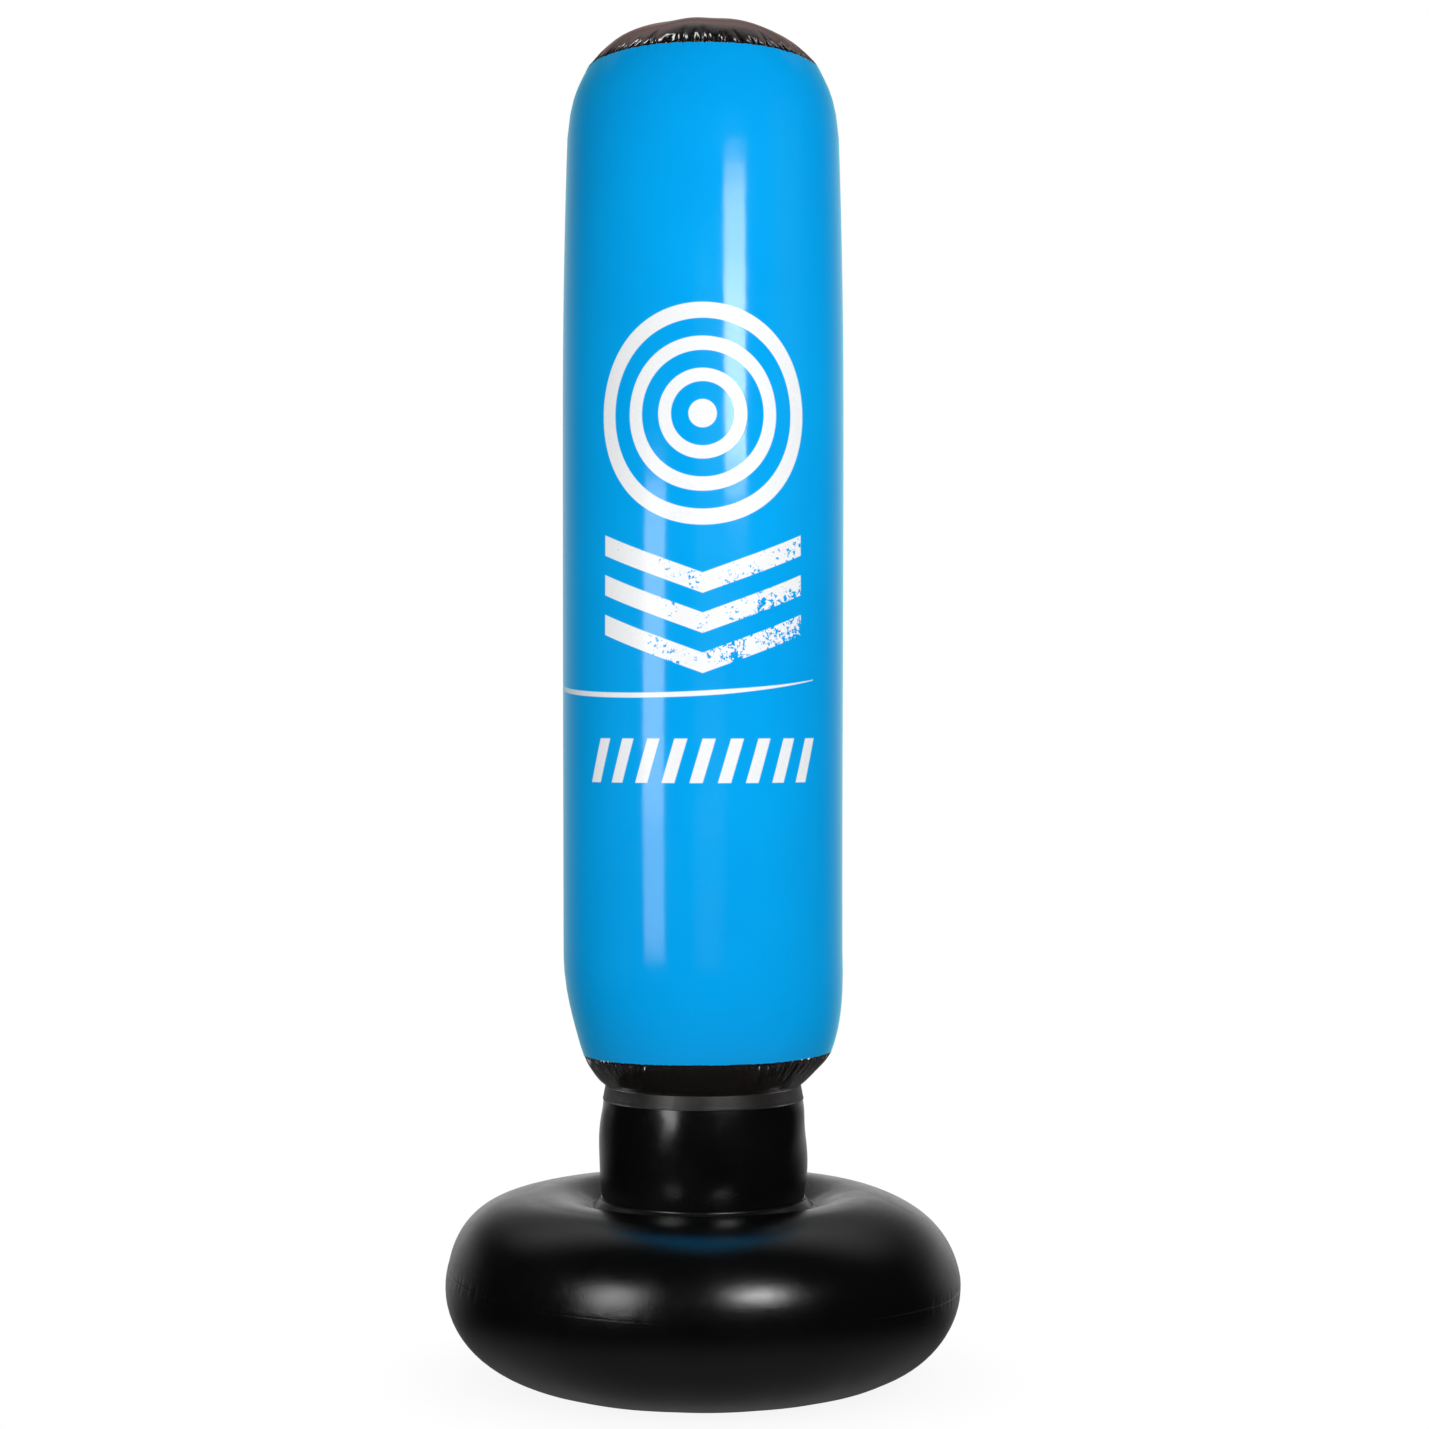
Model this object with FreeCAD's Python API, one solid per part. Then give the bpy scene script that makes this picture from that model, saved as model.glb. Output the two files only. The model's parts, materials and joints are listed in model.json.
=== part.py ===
"""Free-standing inflatable punching bag: a water-weighted ring base, a flexible neck and a tall air column.

Units are millimetres. +Z is up, the origin is on the floor under the centre of the base, and the printed
front of the bag faces -Y. Every panel is PVC film, welded to its neighbours along turned-in margins.
"""

import FreeCAD
import Part

import math
import os

V = FreeCAD.Vector
OUT = "parts"
TOUCHING = 1e-6            # distance at which two points count as one
CUT_REACH = 1000.0         # half the width of the blocks that shapes are trimmed with
PUNCH_REACH = 20.0         # how far a hole's punch reaches on each side of the film

# ---- film and welds ----
FILM = 0.6                 # film thickness
MARGIN = 6.0               # width of the turned-in weld margins
GAP = 0.3                  # clearance between pieces that move against each other

# ---- column ----
TOTAL_H = 1600.0           # top of the dome
COLUMN_R = 164.0
TOP_SEAM_R = 134.0
TOP_SEAM_Z = 1540.0
LOW_SEAM_R = 144.0
LOW_SEAM_Z = 378.0
LOW_SHOULDER_R = 323.0     # radius of the arc that pulls the sleeve in to the lower seam
TAPER_Z = 1150.0           # above this height the column narrows slightly
TAPER_R = 10000.0
TAPER_RISE = 300.0         # height of the gentle taper
SLEEVE_PIECES = 5          # pieces that each of the sleeve's arcs is divided into
DISC_DOME_R = 170.0        # radius of the bulging lower disc
LAP_WIDTH = 12.0           # vertical lap weld of the rolled sleeve
LAP_AZIMUTH = 62.0

# ---- neck ----
NECK_TOP_R = 114.7
NECK_TOP_Z = 343.0
NECK_MID_R = 123.0
NECK_MID_Z = 272.0
NECK_FOOT_R = 119.5
NECK_FOOT_Z = 209.0
NECK_COLLAR = 17.0         # height of the weld band at the top of the neck
NECK_INSET = 0.9           # the neck film sits inside the weld band
NECK_LIFT = 2.4            # the barrel starts this far above the end of the collar

# ---- base ring ----
BASE_R = 302.0
EQUATOR_Z = 109.6
CROWN_R = 182.4
CROWN_Z = 215.7
FOOT_R = 166.4             # the flat that rests on the floor
VALLEY_R = 130.0           # where the ring meets the neck weld
VALLEY_Z = 199.0
CORE_R = 118.0             # inner wall of the water chamber
HEM_FILM = 0.8             # thickness of the pressed neck hem
HEM_INSET = 1.5
COLLAR = 17.0              # slant height of the welded collar round the neck
WATER_Z = 75.0             # level of the water ballast

# ---- air valves ----
AIR_FLANGE_R = 17.0
AIR_FLANGE_T = 1.2
AIR_STEM_R = 6.5
AIR_BORE_R = 4.2
AIR_STEM_IN = 15.0         # how far the stem reaches into the chamber
AIR_RIM_R = 8.2
AIR_RIM_T = 1.5
AIR_HEAD_R = 7.5
AIR_HEAD_T = 1.8
AIR_HEAD_ROUND = 0.6
PLUG_DEPTH = 8.0           # how far the stopper's tip reaches below the film
PLUG_TIP = 3.5             # length of the tapered tip
PLUG_TIP_TAPER = 0.9
FLAP_R = 5.2
FLAP_T = 0.8
FLAP_TAB_W = 3.0
STRAP_W = 4.0
STRAP_T = 1.0
STRAP_BEND_R = 1.1         # inner radius of the stopper strap's loop
STRAP_REACH = 6.0          # how far its legs stand out past the rim
FILM_HOLE_GAP = 1.5        # clearance of the film's hole round the stem
COLUMN_VALVE_Z = 520.0
BASE_VALVE_AZIMUTH = 73.0

# ---- water filler ----
FILLER_AZIMUTH = 107.0
SPOUT_FLANGE_R = 27.0
SPOUT_FLANGE_T = 1.5
SPOUT_R = 14.6             # core of the threaded spout
SPOUT_BORE_R = 11.5
SPOUT_H = 11.0
SPOUT_SKIRT = 3.0          # how far the spout reaches through the film
THREAD_PITCH = 3.0
THREAD_DEPTH = 0.9
THREAD_SINK = 0.2          # how deep the ridge is rooted in its wall
THREAD_HALF_WIDTH = 0.24   # half the ridge's width, as a share of the pitch
THREAD_LOW_Z = 3.4
THREAD_TURNS = 2.2
CAP_THREAD_DEPTH = 1.5
CAP_THREAD_TURNS = 1.6
CAP_R = 20.0
CAP_BORE_R = 16.6
CAP_LOW_Z = 3.0            # gap under the closed cap's skirt
CAP_TOP_T = 2.2
CAP_CHAMFER = 0.8
CAP_RIBS = 28              # grip grooves round the cap
CAP_RIB_R = 0.9
CAP_RIB_TOP_Z = 8.0
CAP_GROOVE_Z = 9.6         # the leash ring sits in this groove
CAP_GROOVE_DEPTH = 0.8
GASKET_T = 1.4
GASKET_SEAT_GAP = 0.02
CAP_BUNG_R = 11.2
CAP_BUNG_WALL = 2.0
CAP_BUNG_LOW_Z = 1.0
LEASH_RING_R = 22.6
LEASH_RING_T = 1.8
LEASH_FOOT_R = 17.8        # the leash's lower ring lies loose round the spout
LEASH_FOOT_LIFT = 0.1
LEASH_REACH = 28.0
LEASH_W = 6.0


# ---------------------------------------------------------------- section helpers
def at(radius, z):
    """A point of the section plane, which is turned about Z."""
    return V(radius, 0, z)


def line(a, b):
    return Part.LineSegment(a, b).toShape()


def arc(centre, radius, start_deg, end_deg):
    """An arc about centre, from one angle to another, in the section plane."""
    def on(deg):
        turn = math.radians(deg)
        return centre + V(radius * math.cos(turn), 0, radius * math.sin(turn))
    return Part.Arc(on(start_deg), on((start_deg + end_deg) / 2), on(end_deg)).toShape()


def arcs(centre, radius, start_deg, end_deg, count):
    """An arc as count short ones, so that a shell's two faces are divided alike along it."""
    stops = [start_deg + (end_deg - start_deg) * index / count for index in range(count + 1)]
    return [arc(centre, radius, low, high) for low, high in zip(stops, stops[1:])]


def ends(edges):
    """The free start and end point of a chain of edges that are listed in order."""
    if len(edges) == 1:
        return edges[0].Vertexes[0].Point, edges[0].Vertexes[-1].Point
    first, second = edges[0], edges[1]
    start, joint = first.Vertexes[0].Point, first.Vertexes[-1].Point
    if min((start - v.Point).Length for v in second.Vertexes) < TOUCHING:
        start, joint = joint, start
    last, before = edges[-1], edges[-2]
    finish = last.Vertexes[-1].Point
    if min((finish - v.Point).Length for v in before.Vertexes) < TOUCHING:
        finish = last.Vertexes[0].Point
    return start, finish


def spin(edges):
    """The solid made by turning a closed section about Z."""
    wire = Part.Wire(Part.__sortEdges__(edges))
    solid = Part.Face(wire).revolve(V(0, 0, 0), V(0, 0, 1), 360)
    return solid if solid.Volume > 0 else solid.reversed()


def polygon(points):
    return spin([line(a, b) for a, b in zip(points, points[1:] + points[:1])])


def ring(inner_r, outer_r, low_z, high_z):
    return polygon([at(inner_r, low_z), at(outer_r, low_z), at(outer_r, high_z), at(inner_r, high_z)])


def film(outline, outside=0.0, inside=FILM):
    """A turned shell between two offsets of an outline, measured inwards."""
    outer, inner = outline(outside), outline(inside)
    (outer_start, outer_end), (inner_start, inner_end) = ends(outer), ends(inner)
    return spin(outer + inner + [line(outer_start, inner_start), line(outer_end, inner_end)])


def cylinder(radius, low_z, high_z):
    return Part.makeCylinder(radius, high_z - low_z, V(0, 0, low_z))


def film_hole(radius):
    """A round punch through the film, built at Z = 0."""
    return cylinder(radius, -PUNCH_REACH, PUNCH_REACH)


def below(z):
    """Everything under a height, for trimming."""
    side = 2 * CUT_REACH
    return Part.makeBox(side, side, side, V(-CUT_REACH, -CUT_REACH, z - side))


def above(z):
    """Everything over a height, for trimming."""
    side = 2 * CUT_REACH
    return Part.makeBox(side, side, side, V(-CUT_REACH, -CUT_REACH, z))


def wedge(azimuth, width, radius, low_z, high_z):
    """A flat bar from the axis outwards, for cutting a strip out of a turned shell."""
    bar = Part.makeBox(radius, width, high_z - low_z, V(0, -width / 2, low_z))
    bar.rotate(V(0, 0, 0), V(0, 0, 1), azimuth)
    return bar


def around_crown(azimuth):
    """The point of the base ring's crown at an azimuth."""
    turn = math.radians(azimuth)
    return V(CROWN_R * math.cos(turn), CROWN_R * math.sin(turn), CROWN_Z)


def standing(shape, azimuth):
    """Moves a shape built on +Z at the origin to the crown of the base ring."""
    placed = shape.copy()
    placed.rotate(V(0, 0, 0), V(0, 0, 1), azimuth)
    placed.translate(around_crown(azimuth))
    return placed


def facing_back(shape):
    """Moves a shape built on +Z at the origin to the back of the column."""
    placed = shape.copy()
    placed.rotate(V(0, 0, 0), V(1, 0, 0), -90)
    placed.translate(V(0, COLUMN_R, COLUMN_VALVE_Z))
    return placed


# ---------------------------------------------------------------- outlines, as offsets of the outer surface
def arc_angle(radius, depth):
    """The angle at which an arc has moved in by depth from its widest point."""
    return math.degrees(math.acos(1 - depth / radius))


def sleeve_outline(inset):
    """Lower shoulder, straight wall, gentle taper and upper shoulder of the column."""
    low_angle = arc_angle(LOW_SHOULDER_R, COLUMN_R - LOW_SEAM_R)
    low_centre = at(COLUMN_R - LOW_SHOULDER_R, LOW_SEAM_Z + LOW_SHOULDER_R * math.sin(math.radians(low_angle)))
    taper_centre = at(COLUMN_R - TAPER_R, TAPER_Z)
    taper_angle = math.degrees(math.asin(TAPER_RISE / TAPER_R))
    shoulder = upper_shoulder(taper_angle)
    wall = line(at(COLUMN_R - inset, low_centre.z), at(COLUMN_R - inset, TAPER_Z))
    return (
        arcs(low_centre, LOW_SHOULDER_R - inset, -low_angle, 0, SLEEVE_PIECES)
        + [wall]
        + arcs(taper_centre, TAPER_R - inset, 0, taper_angle, SLEEVE_PIECES)
        + arcs(shoulder["centre"], shoulder["radius"] - inset, taper_angle, shoulder["angle"], SLEEVE_PIECES)
    )


def upper_shoulder(start_deg):
    """The arc that leaves the taper tangentially and ends at the top seam."""
    turn = math.radians(start_deg)
    normal = V(math.cos(turn), 0, math.sin(turn))
    start = at(COLUMN_R - TAPER_R, TAPER_Z) + normal * TAPER_R
    chord = at(TOP_SEAM_R, TOP_SEAM_Z) - start
    radius = -chord.dot(chord) / (2 * chord.dot(normal))
    centre = start - normal * radius
    finish = at(TOP_SEAM_R, TOP_SEAM_Z) - centre
    return {"centre": centre, "radius": radius, "angle": math.degrees(math.atan2(finish.z, finish.x))}


def cap_outline(inset):
    """The dome over the top seam."""
    rise = TOTAL_H - TOP_SEAM_Z
    radius = (TOP_SEAM_R ** 2 + rise ** 2) / (2 * rise)
    seam_deg = math.degrees(math.acos(TOP_SEAM_R / radius))
    return [arc(at(0, TOTAL_H - radius), radius - inset, seam_deg, 90)]


def disc_outline(inset):
    """The bulging lower disc, from its outer seam in to the neck."""
    centre = at(0, LOW_SEAM_Z + math.sqrt(DISC_DOME_R ** 2 - LOW_SEAM_R ** 2))
    seam_deg = -math.degrees(math.acos(LOW_SEAM_R / DISC_DOME_R))
    neck_deg = -math.degrees(math.acos(NECK_TOP_R / DISC_DOME_R))
    return [arc(centre, DISC_DOME_R - inset, neck_deg, seam_deg)]


def neck_outline(inset):
    """The barrel of the neck, from its foot to its top."""
    foot, mid, top = at(NECK_FOOT_R, NECK_FOOT_Z), at(NECK_MID_R, NECK_MID_Z), at(NECK_TOP_R, NECK_TOP_Z)
    barrel = Part.Arc(foot, mid, top).toShape().Curve
    centre, radius = barrel.Center, barrel.Radius
    foot_deg, top_deg = (math.degrees(math.atan2(p.z - centre.z, p.x - centre.x)) for p in (foot, top))
    return [arc(centre, radius - inset, foot_deg, top_deg)]


def quarter_ellipse(centre, wide, high, upper):
    """A quarter of an ellipse from its widest point to its top, or to its bottom."""
    side = 1 if upper else -1
    full = Part.Ellipse(centre + V(wide, 0, 0), centre + V(0, 0, side * high), centre)
    return Part.ArcOfEllipse(full, 0, math.pi / 2).toShape()


def base_top_outline(inset):
    """The upper half of the ring, from the equator over the crown to the valley round the neck."""
    centre = at(CROWN_R, EQUATOR_Z)
    over = quarter_ellipse(centre, BASE_R - CROWN_R - inset, CROWN_Z - EQUATOR_Z - inset, True)
    run, drop = CROWN_R - VALLEY_R, CROWN_Z - VALLEY_Z
    radius = (run ** 2 + drop ** 2) / (2 * drop)
    valley_deg = 90 + math.degrees(math.asin(run / radius))
    return [over, arc(at(CROWN_R, CROWN_Z - radius), radius - inset, 90, valley_deg)]


def base_bottom_outline(inset):
    """The lower half of the ring, from the equator down to the flat foot and in to the axis."""
    side = quarter_ellipse(at(FOOT_R, EQUATOR_Z), BASE_R - FOOT_R - inset, EQUATOR_Z - inset, False)
    return [side, line(at(FOOT_R, inset), at(0, inset))]


# ---------------------------------------------------------------- column
def column_sleeve():
    """The blue tube: film rolled and lap welded up its back, with a margin turned in at each end."""
    tube = film(sleeve_outline)
    top_margin = ring(TOP_SEAM_R - MARGIN, TOP_SEAM_R, TOP_SEAM_Z - FILM, TOP_SEAM_Z)
    low_margin = ring(LOW_SEAM_R - MARGIN, LOW_SEAM_R, LOW_SEAM_Z, LOW_SEAM_Z + FILM)
    bar = wedge(LAP_AZIMUTH, LAP_WIDTH, COLUMN_R + MARGIN, LOW_SEAM_Z + MARGIN, TOP_SEAM_Z - MARGIN)
    lap = film(sleeve_outline, -FILM, FILM / 2).common(bar)
    tube = tube.fuse([top_margin, low_margin, lap]).removeSplitter()
    tube = tube.common(above(LOW_SEAM_Z)).common(below(TOP_SEAM_Z))
    return tube.cut(facing_back(film_hole(AIR_STEM_R + FILM_HOLE_GAP)))


def top_cap():
    """The black dome that closes the column."""
    margin = ring(TOP_SEAM_R - MARGIN, TOP_SEAM_R, TOP_SEAM_Z, TOP_SEAM_Z + FILM)
    return film(cap_outline).fuse(margin).removeSplitter().common(above(TOP_SEAM_Z))


def bottom_disc():
    """The black ring under the column, turned down over the top of the neck as a weld band."""
    margin = ring(LOW_SEAM_R - MARGIN, LOW_SEAM_R, LOW_SEAM_Z - FILM, LOW_SEAM_Z)
    bulge = film(disc_outline).fuse(margin).common(below(LOW_SEAM_Z))
    band = film(neck_outline).common(above(NECK_TOP_Z - NECK_COLLAR))
    corner = ring(NECK_TOP_R - FILM, NECK_TOP_R, NECK_TOP_Z - FILM, NECK_TOP_Z + FILM)
    return bulge.fuse([band, corner]).removeSplitter()


# ---------------------------------------------------------------- neck
def neck_sleeve():
    """The flexible barrel between base and column, open at both ends so that they share their air."""
    barrel = film(neck_outline, NECK_INSET, NECK_INSET + FILM)
    return barrel.common(above(NECK_FOOT_Z + NECK_LIFT)).common(below(NECK_TOP_Z - FILM))


# ---------------------------------------------------------------- base ring
def collar_directions():
    """The unit vector up the welded collar, and its outward normal."""
    along = at(NECK_FOOT_R, NECK_FOOT_Z) - at(VALLEY_R, VALLEY_Z)
    along = along / along.Length
    return along, V(along.z, 0, -along.x)


def collar_strip(start, low, high):
    """A conical strip along the collar, from start millimetres up it, between two heights above it."""
    along, normal = collar_directions()
    foot = at(VALLEY_R, VALLEY_Z) + along * start
    head = at(VALLEY_R, VALLEY_Z) + along * COLLAR
    strip = polygon([foot + normal * low, head + normal * low, head + normal * high, foot + normal * high])
    return strip.cut(cylinder(CORE_R, 0, TOTAL_H))


def base_top_panel():
    """The upper half of the ring with its equator margin and the collar round the neck."""
    margin = ring(BASE_R - MARGIN, BASE_R, EQUATOR_Z, EQUATOR_Z + FILM)
    panel = film(base_top_outline).fuse([margin, collar_strip(-FILM, -FILM, 0)]).removeSplitter()
    return panel.cut([on_base(film_hole(AIR_STEM_R + FILM_HOLE_GAP)), on_filler(film_hole(SPOUT_R + GAP))])


def neck_hem():
    """The pressed foot of the neck, lying on the collar of the base."""
    return collar_strip(HEM_INSET, 0, HEM_FILM)


def base_bottom_panel():
    """The lower half of the ring and the flat foot, in one sheet."""
    margin = ring(BASE_R - MARGIN, BASE_R, EQUATOR_Z - FILM, EQUATOR_Z)
    return film(base_bottom_outline).fuse(margin).removeSplitter().common(below(EQUATOR_Z))


def base_core_tube():
    """The inner wall of the water chamber, which ties the neck's foot down to the bottom sheet."""
    return ring(CORE_R - FILM, CORE_R, FILM, NECK_FOOT_Z + FILM)


def water_ballast():
    """Water lying in the ring, clear of the film all round."""
    section = base_bottom_outline(FILM + GAP)
    start, finish = ends(section)
    full = spin(section + [line(finish, at(0, start.z)), line(at(0, start.z), start)])
    return full.common(below(WATER_Z)).cut(cylinder(CORE_R + GAP, 0, EQUATOR_Z))


# ---------------------------------------------------------------- air valves, built on +Z with the film at Z = 0
def on_base(shape):
    return standing(shape, BASE_VALVE_AZIMUTH)


def conforming_disc(outline, thickness, outer_r, inner_r, place):
    """A flat ring bent to lie on a turned surface."""
    return film(outline, -thickness, 0).common(place(film_hole(outer_r).cut(film_hole(inner_r))))


def rim_low():
    return AIR_FLANGE_T + GAP


def air_stem():
    """The soft tube with a rim that stops it at the flange when it is pushed in."""
    top = rim_low() + AIR_RIM_T
    tube = cylinder(AIR_STEM_R, -AIR_STEM_IN, top).fuse(cylinder(AIR_RIM_R, rim_low(), top))
    return tube.cut(cylinder(AIR_BORE_R, -AIR_STEM_IN, top)).removeSplitter()


def air_flap():
    """The check flap under the stem's inner end, with its hinge tab on +X."""
    top = -AIR_STEM_IN - GAP
    disc = cylinder(FLAP_R, top - FLAP_T, top)
    tab = Part.makeBox(AIR_STEM_R, FLAP_TAB_W, FLAP_T, V(0, -FLAP_TAB_W / 2, top - FLAP_T))
    return disc.fuse(tab).removeSplitter()


def top_rims(shape, z):
    """The flat edges of a turned shape at one height."""
    return [e for e in shape.Edges if abs(e.BoundBox.ZMin - z) < TOUCHING and e.BoundBox.ZLength < TOUCHING]


def air_plug():
    """The stopper, whose shank fills the stem's mouth and whose tip is tapered."""
    head_low = rim_low() + AIR_RIM_T + GAP
    head = cylinder(AIR_HEAD_R, head_low, head_low + AIR_HEAD_T)
    head = head.makeFillet(AIR_HEAD_ROUND, top_rims(head, head_low + AIR_HEAD_T))
    shank_r = AIR_BORE_R - GAP / 2
    shank = cylinder(shank_r, PLUG_TIP - PLUG_DEPTH, head_low)
    tip = Part.makeCone(shank_r - PLUG_TIP_TAPER, shank_r, PLUG_TIP, V(0, 0, -PLUG_DEPTH))
    return head.fuse([shank, tip]).removeSplitter()


def loop(bend_x, low, inner_r, thickness, width):
    """Half a ring that opens towards +X, for the bend of a strap; its lower leg starts at height low."""
    centre = V(bend_x, -width / 2, low + thickness + inner_r)
    bend = Part.makeCylinder(inner_r + thickness, width, centre, V(0, 1, 0))
    bend = bend.cut(Part.makeCylinder(inner_r, width, centre, V(0, 1, 0)))
    return bend.cut(Part.makeBox(LEASH_REACH, width, LEASH_REACH, V(bend_x, -width / 2, low)))


def leg(bend_x, reach_x, low, thickness, width):
    """A flat leg of a strap, from its bend to where it is fixed."""
    return Part.makeBox(reach_x - bend_x, width, thickness, V(bend_x, -width / 2, low))


def air_strap():
    """The strap from the stem's rim to the stopper's head, a loop that stands out on -X."""
    low = rim_low() + (AIR_RIM_T - STRAP_T) / 2
    high = low + STRAP_T + 2 * STRAP_BEND_R
    bend_x = -AIR_RIM_R - STRAP_REACH
    bend = loop(bend_x, low, STRAP_BEND_R, STRAP_T, STRAP_W)
    lower = leg(bend_x, 0, low, STRAP_T, STRAP_W).cut(cylinder(AIR_RIM_R, low, high))
    upper = leg(bend_x, 0, high, STRAP_T, STRAP_W).cut(cylinder(AIR_HEAD_R + GAP, low, high + STRAP_T))
    return bend.fuse([lower, upper]).removeSplitter()


# ---------------------------------------------------------------- water filler, built on +Z with the film at Z = 0
def on_filler(shape):
    return standing(shape, FILLER_AZIMUTH)


def helix_ridge(root_r, depth, low, turns):
    """A triangular screw thread that grows outwards from its root, or inwards if depth is negative."""
    sink = math.copysign(THREAD_SINK, depth)
    half = THREAD_PITCH * THREAD_HALF_WIDTH
    path = Part.makeHelix(THREAD_PITCH, THREAD_PITCH * turns, root_r)
    corners = [V(root_r - sink, 0, -half), V(root_r + depth, 0, 0), V(root_r - sink, 0, half)]
    profile = Part.makePolygon(corners + corners[:1])
    ridge = Part.Wire(path).makePipeShell([profile], True, True)
    ridge.translate(V(0, 0, low))
    return ridge if ridge.Volume > 0 else ridge.reversed()


def spout_flange():
    """The moulded patch of the filler, welded on the base."""
    return conforming_disc(base_top_outline, SPOUT_FLANGE_T, SPOUT_FLANGE_R, SPOUT_R, on_filler)


def spout():
    """The threaded tube that the water is poured through."""
    tube = cylinder(SPOUT_R, -SPOUT_SKIRT, SPOUT_H).cut(cylinder(SPOUT_BORE_R, -SPOUT_SKIRT, SPOUT_H))
    return tube.fuse(helix_ridge(SPOUT_R, THREAD_DEPTH, THREAD_LOW_Z, THREAD_TURNS))


def filler_cap():
    """The grooved screw cap, with an inner thread that meshes with the spout and a bung that closes its bore."""
    seat = SPOUT_H + GASKET_T
    shell = cylinder(CAP_R, CAP_LOW_Z, seat + CAP_TOP_T)
    shell = shell.makeChamfer(CAP_CHAMFER, top_rims(shell, seat + CAP_TOP_T))
    bung = cylinder(CAP_BUNG_R, CAP_BUNG_LOW_Z, seat).cut(cylinder(CAP_BUNG_R - CAP_BUNG_WALL, 0, seat))
    thread_low = THREAD_LOW_Z + THREAD_PITCH / 2
    thread = helix_ridge(CAP_BORE_R, -CAP_THREAD_DEPTH, thread_low, CAP_THREAD_TURNS)
    shell = shell.cut([cylinder(CAP_BORE_R, CAP_LOW_Z, seat), leash_groove()] + grip_grooves())
    return shell.fuse([bung, thread]).removeSplitter()


def grip_grooves():
    """Upright grooves round the cap's skirt."""
    groove = cylinder(CAP_RIB_R, CAP_LOW_Z, CAP_RIB_TOP_Z)
    grooves = []
    for index in range(CAP_RIBS):
        turn = 2 * math.pi * index / CAP_RIBS
        cut = groove.copy()
        cut.translate(V(CAP_R * math.cos(turn), CAP_R * math.sin(turn), 0))
        grooves.append(cut)
    return grooves


def leash_groove():
    """The shallow groove that keeps the leash ring on the cap."""
    top = CAP_GROOVE_Z + LEASH_RING_T + 2 * GAP
    return ring(CAP_R - CAP_GROOVE_DEPTH, CAP_R + CAP_RIB_R, CAP_GROOVE_Z, top)


def filler_gasket():
    """The flat sealing ring under the cap."""
    return ring(CAP_BUNG_R, SPOUT_R + THREAD_DEPTH, SPOUT_H + GASKET_SEAT_GAP, SPOUT_H + GASKET_T)


def leash_ring():
    """The loose ring in the cap's groove, which rises with the cap but does not turn."""
    low = CAP_GROOVE_Z + GAP
    return ring(CAP_R - CAP_GROOVE_DEPTH + GAP, LEASH_RING_R, low, low + LEASH_RING_T)


def leash_strap():
    """The strap from the ring round the cap to a second ring round the spout, a loop that stands out on +X."""
    low, high = SPOUT_FLANGE_T + LEASH_FOOT_LIFT, CAP_GROOVE_Z + GAP
    inner_r = (high - low - STRAP_T) / 2
    bend = loop(-LEASH_REACH, low, inner_r, STRAP_T, LEASH_W)
    upper = leg(-LEASH_REACH, 0, high, STRAP_T, LEASH_W).cut(cylinder(LEASH_RING_R + GAP, low, high + STRAP_T))
    lower = leg(-LEASH_REACH, 0, low, STRAP_T, LEASH_W).cut(cylinder(SPOUT_R + GAP, low, high))
    foot = ring(SPOUT_R + GAP, LEASH_FOOT_R, low, low + STRAP_T)
    strap = bend.fuse([upper, lower, foot]).removeSplitter()
    strap.rotate(V(0, 0, 0), V(0, 0, 1), 180)
    return strap


# ---------------------------------------------------------------- export
def nodes():
    """Every sub-part by name."""
    made = {
        "column_sleeve": column_sleeve(),
        "top_cap": top_cap(),
        "bottom_disc": bottom_disc(),
        "neck_sleeve": neck_sleeve(),
        "neck_hem": neck_hem(),
        "base_top_panel": base_top_panel(),
        "base_bottom_panel": base_bottom_panel(),
        "base_core_tube": base_core_tube(),
        "water_ballast": water_ballast(),
        "filler_flange": spout_flange(),
        "filler_spout": on_filler(spout()),
        "filler_cap": on_filler(filler_cap()),
        "filler_gasket": on_filler(filler_gasket()),
        "filler_leash_ring": on_filler(leash_ring()),
        "filler_leash_strap": on_filler(leash_strap()),
    }
    for owner, place, outline in (("column", facing_back, sleeve_outline), ("base", on_base, base_top_outline)):
        flange = conforming_disc(outline, AIR_FLANGE_T, AIR_FLANGE_R, AIR_STEM_R + GAP, place)
        made[owner + "_valve_flange"] = flange
        made[owner + "_valve_stem"] = place(air_stem())
        made[owner + "_valve_flap"] = place(air_flap())
        made[owner + "_valve_plug"] = place(air_plug())
        made[owner + "_valve_strap"] = place(air_strap())
    return made


def main():
    os.makedirs(OUT, exist_ok=True)
    for name, shape in nodes().items():
        shape.exportStep(os.path.join(OUT, name + ".step"))
        print(f"{name:22s} solids {len(shape.Solids)} valid {shape.isValid()} volume {shape.Volume:12.1f}")


main()
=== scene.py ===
"""Looks of the inflatable free-standing punching bag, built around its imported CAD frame.

Units are metres. +Z is up and the printed front faces -Y. Every film is a closed thin shell turned about Z,
with its pleats, puckers and creases in the mesh.
"""

import json
import math

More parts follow.
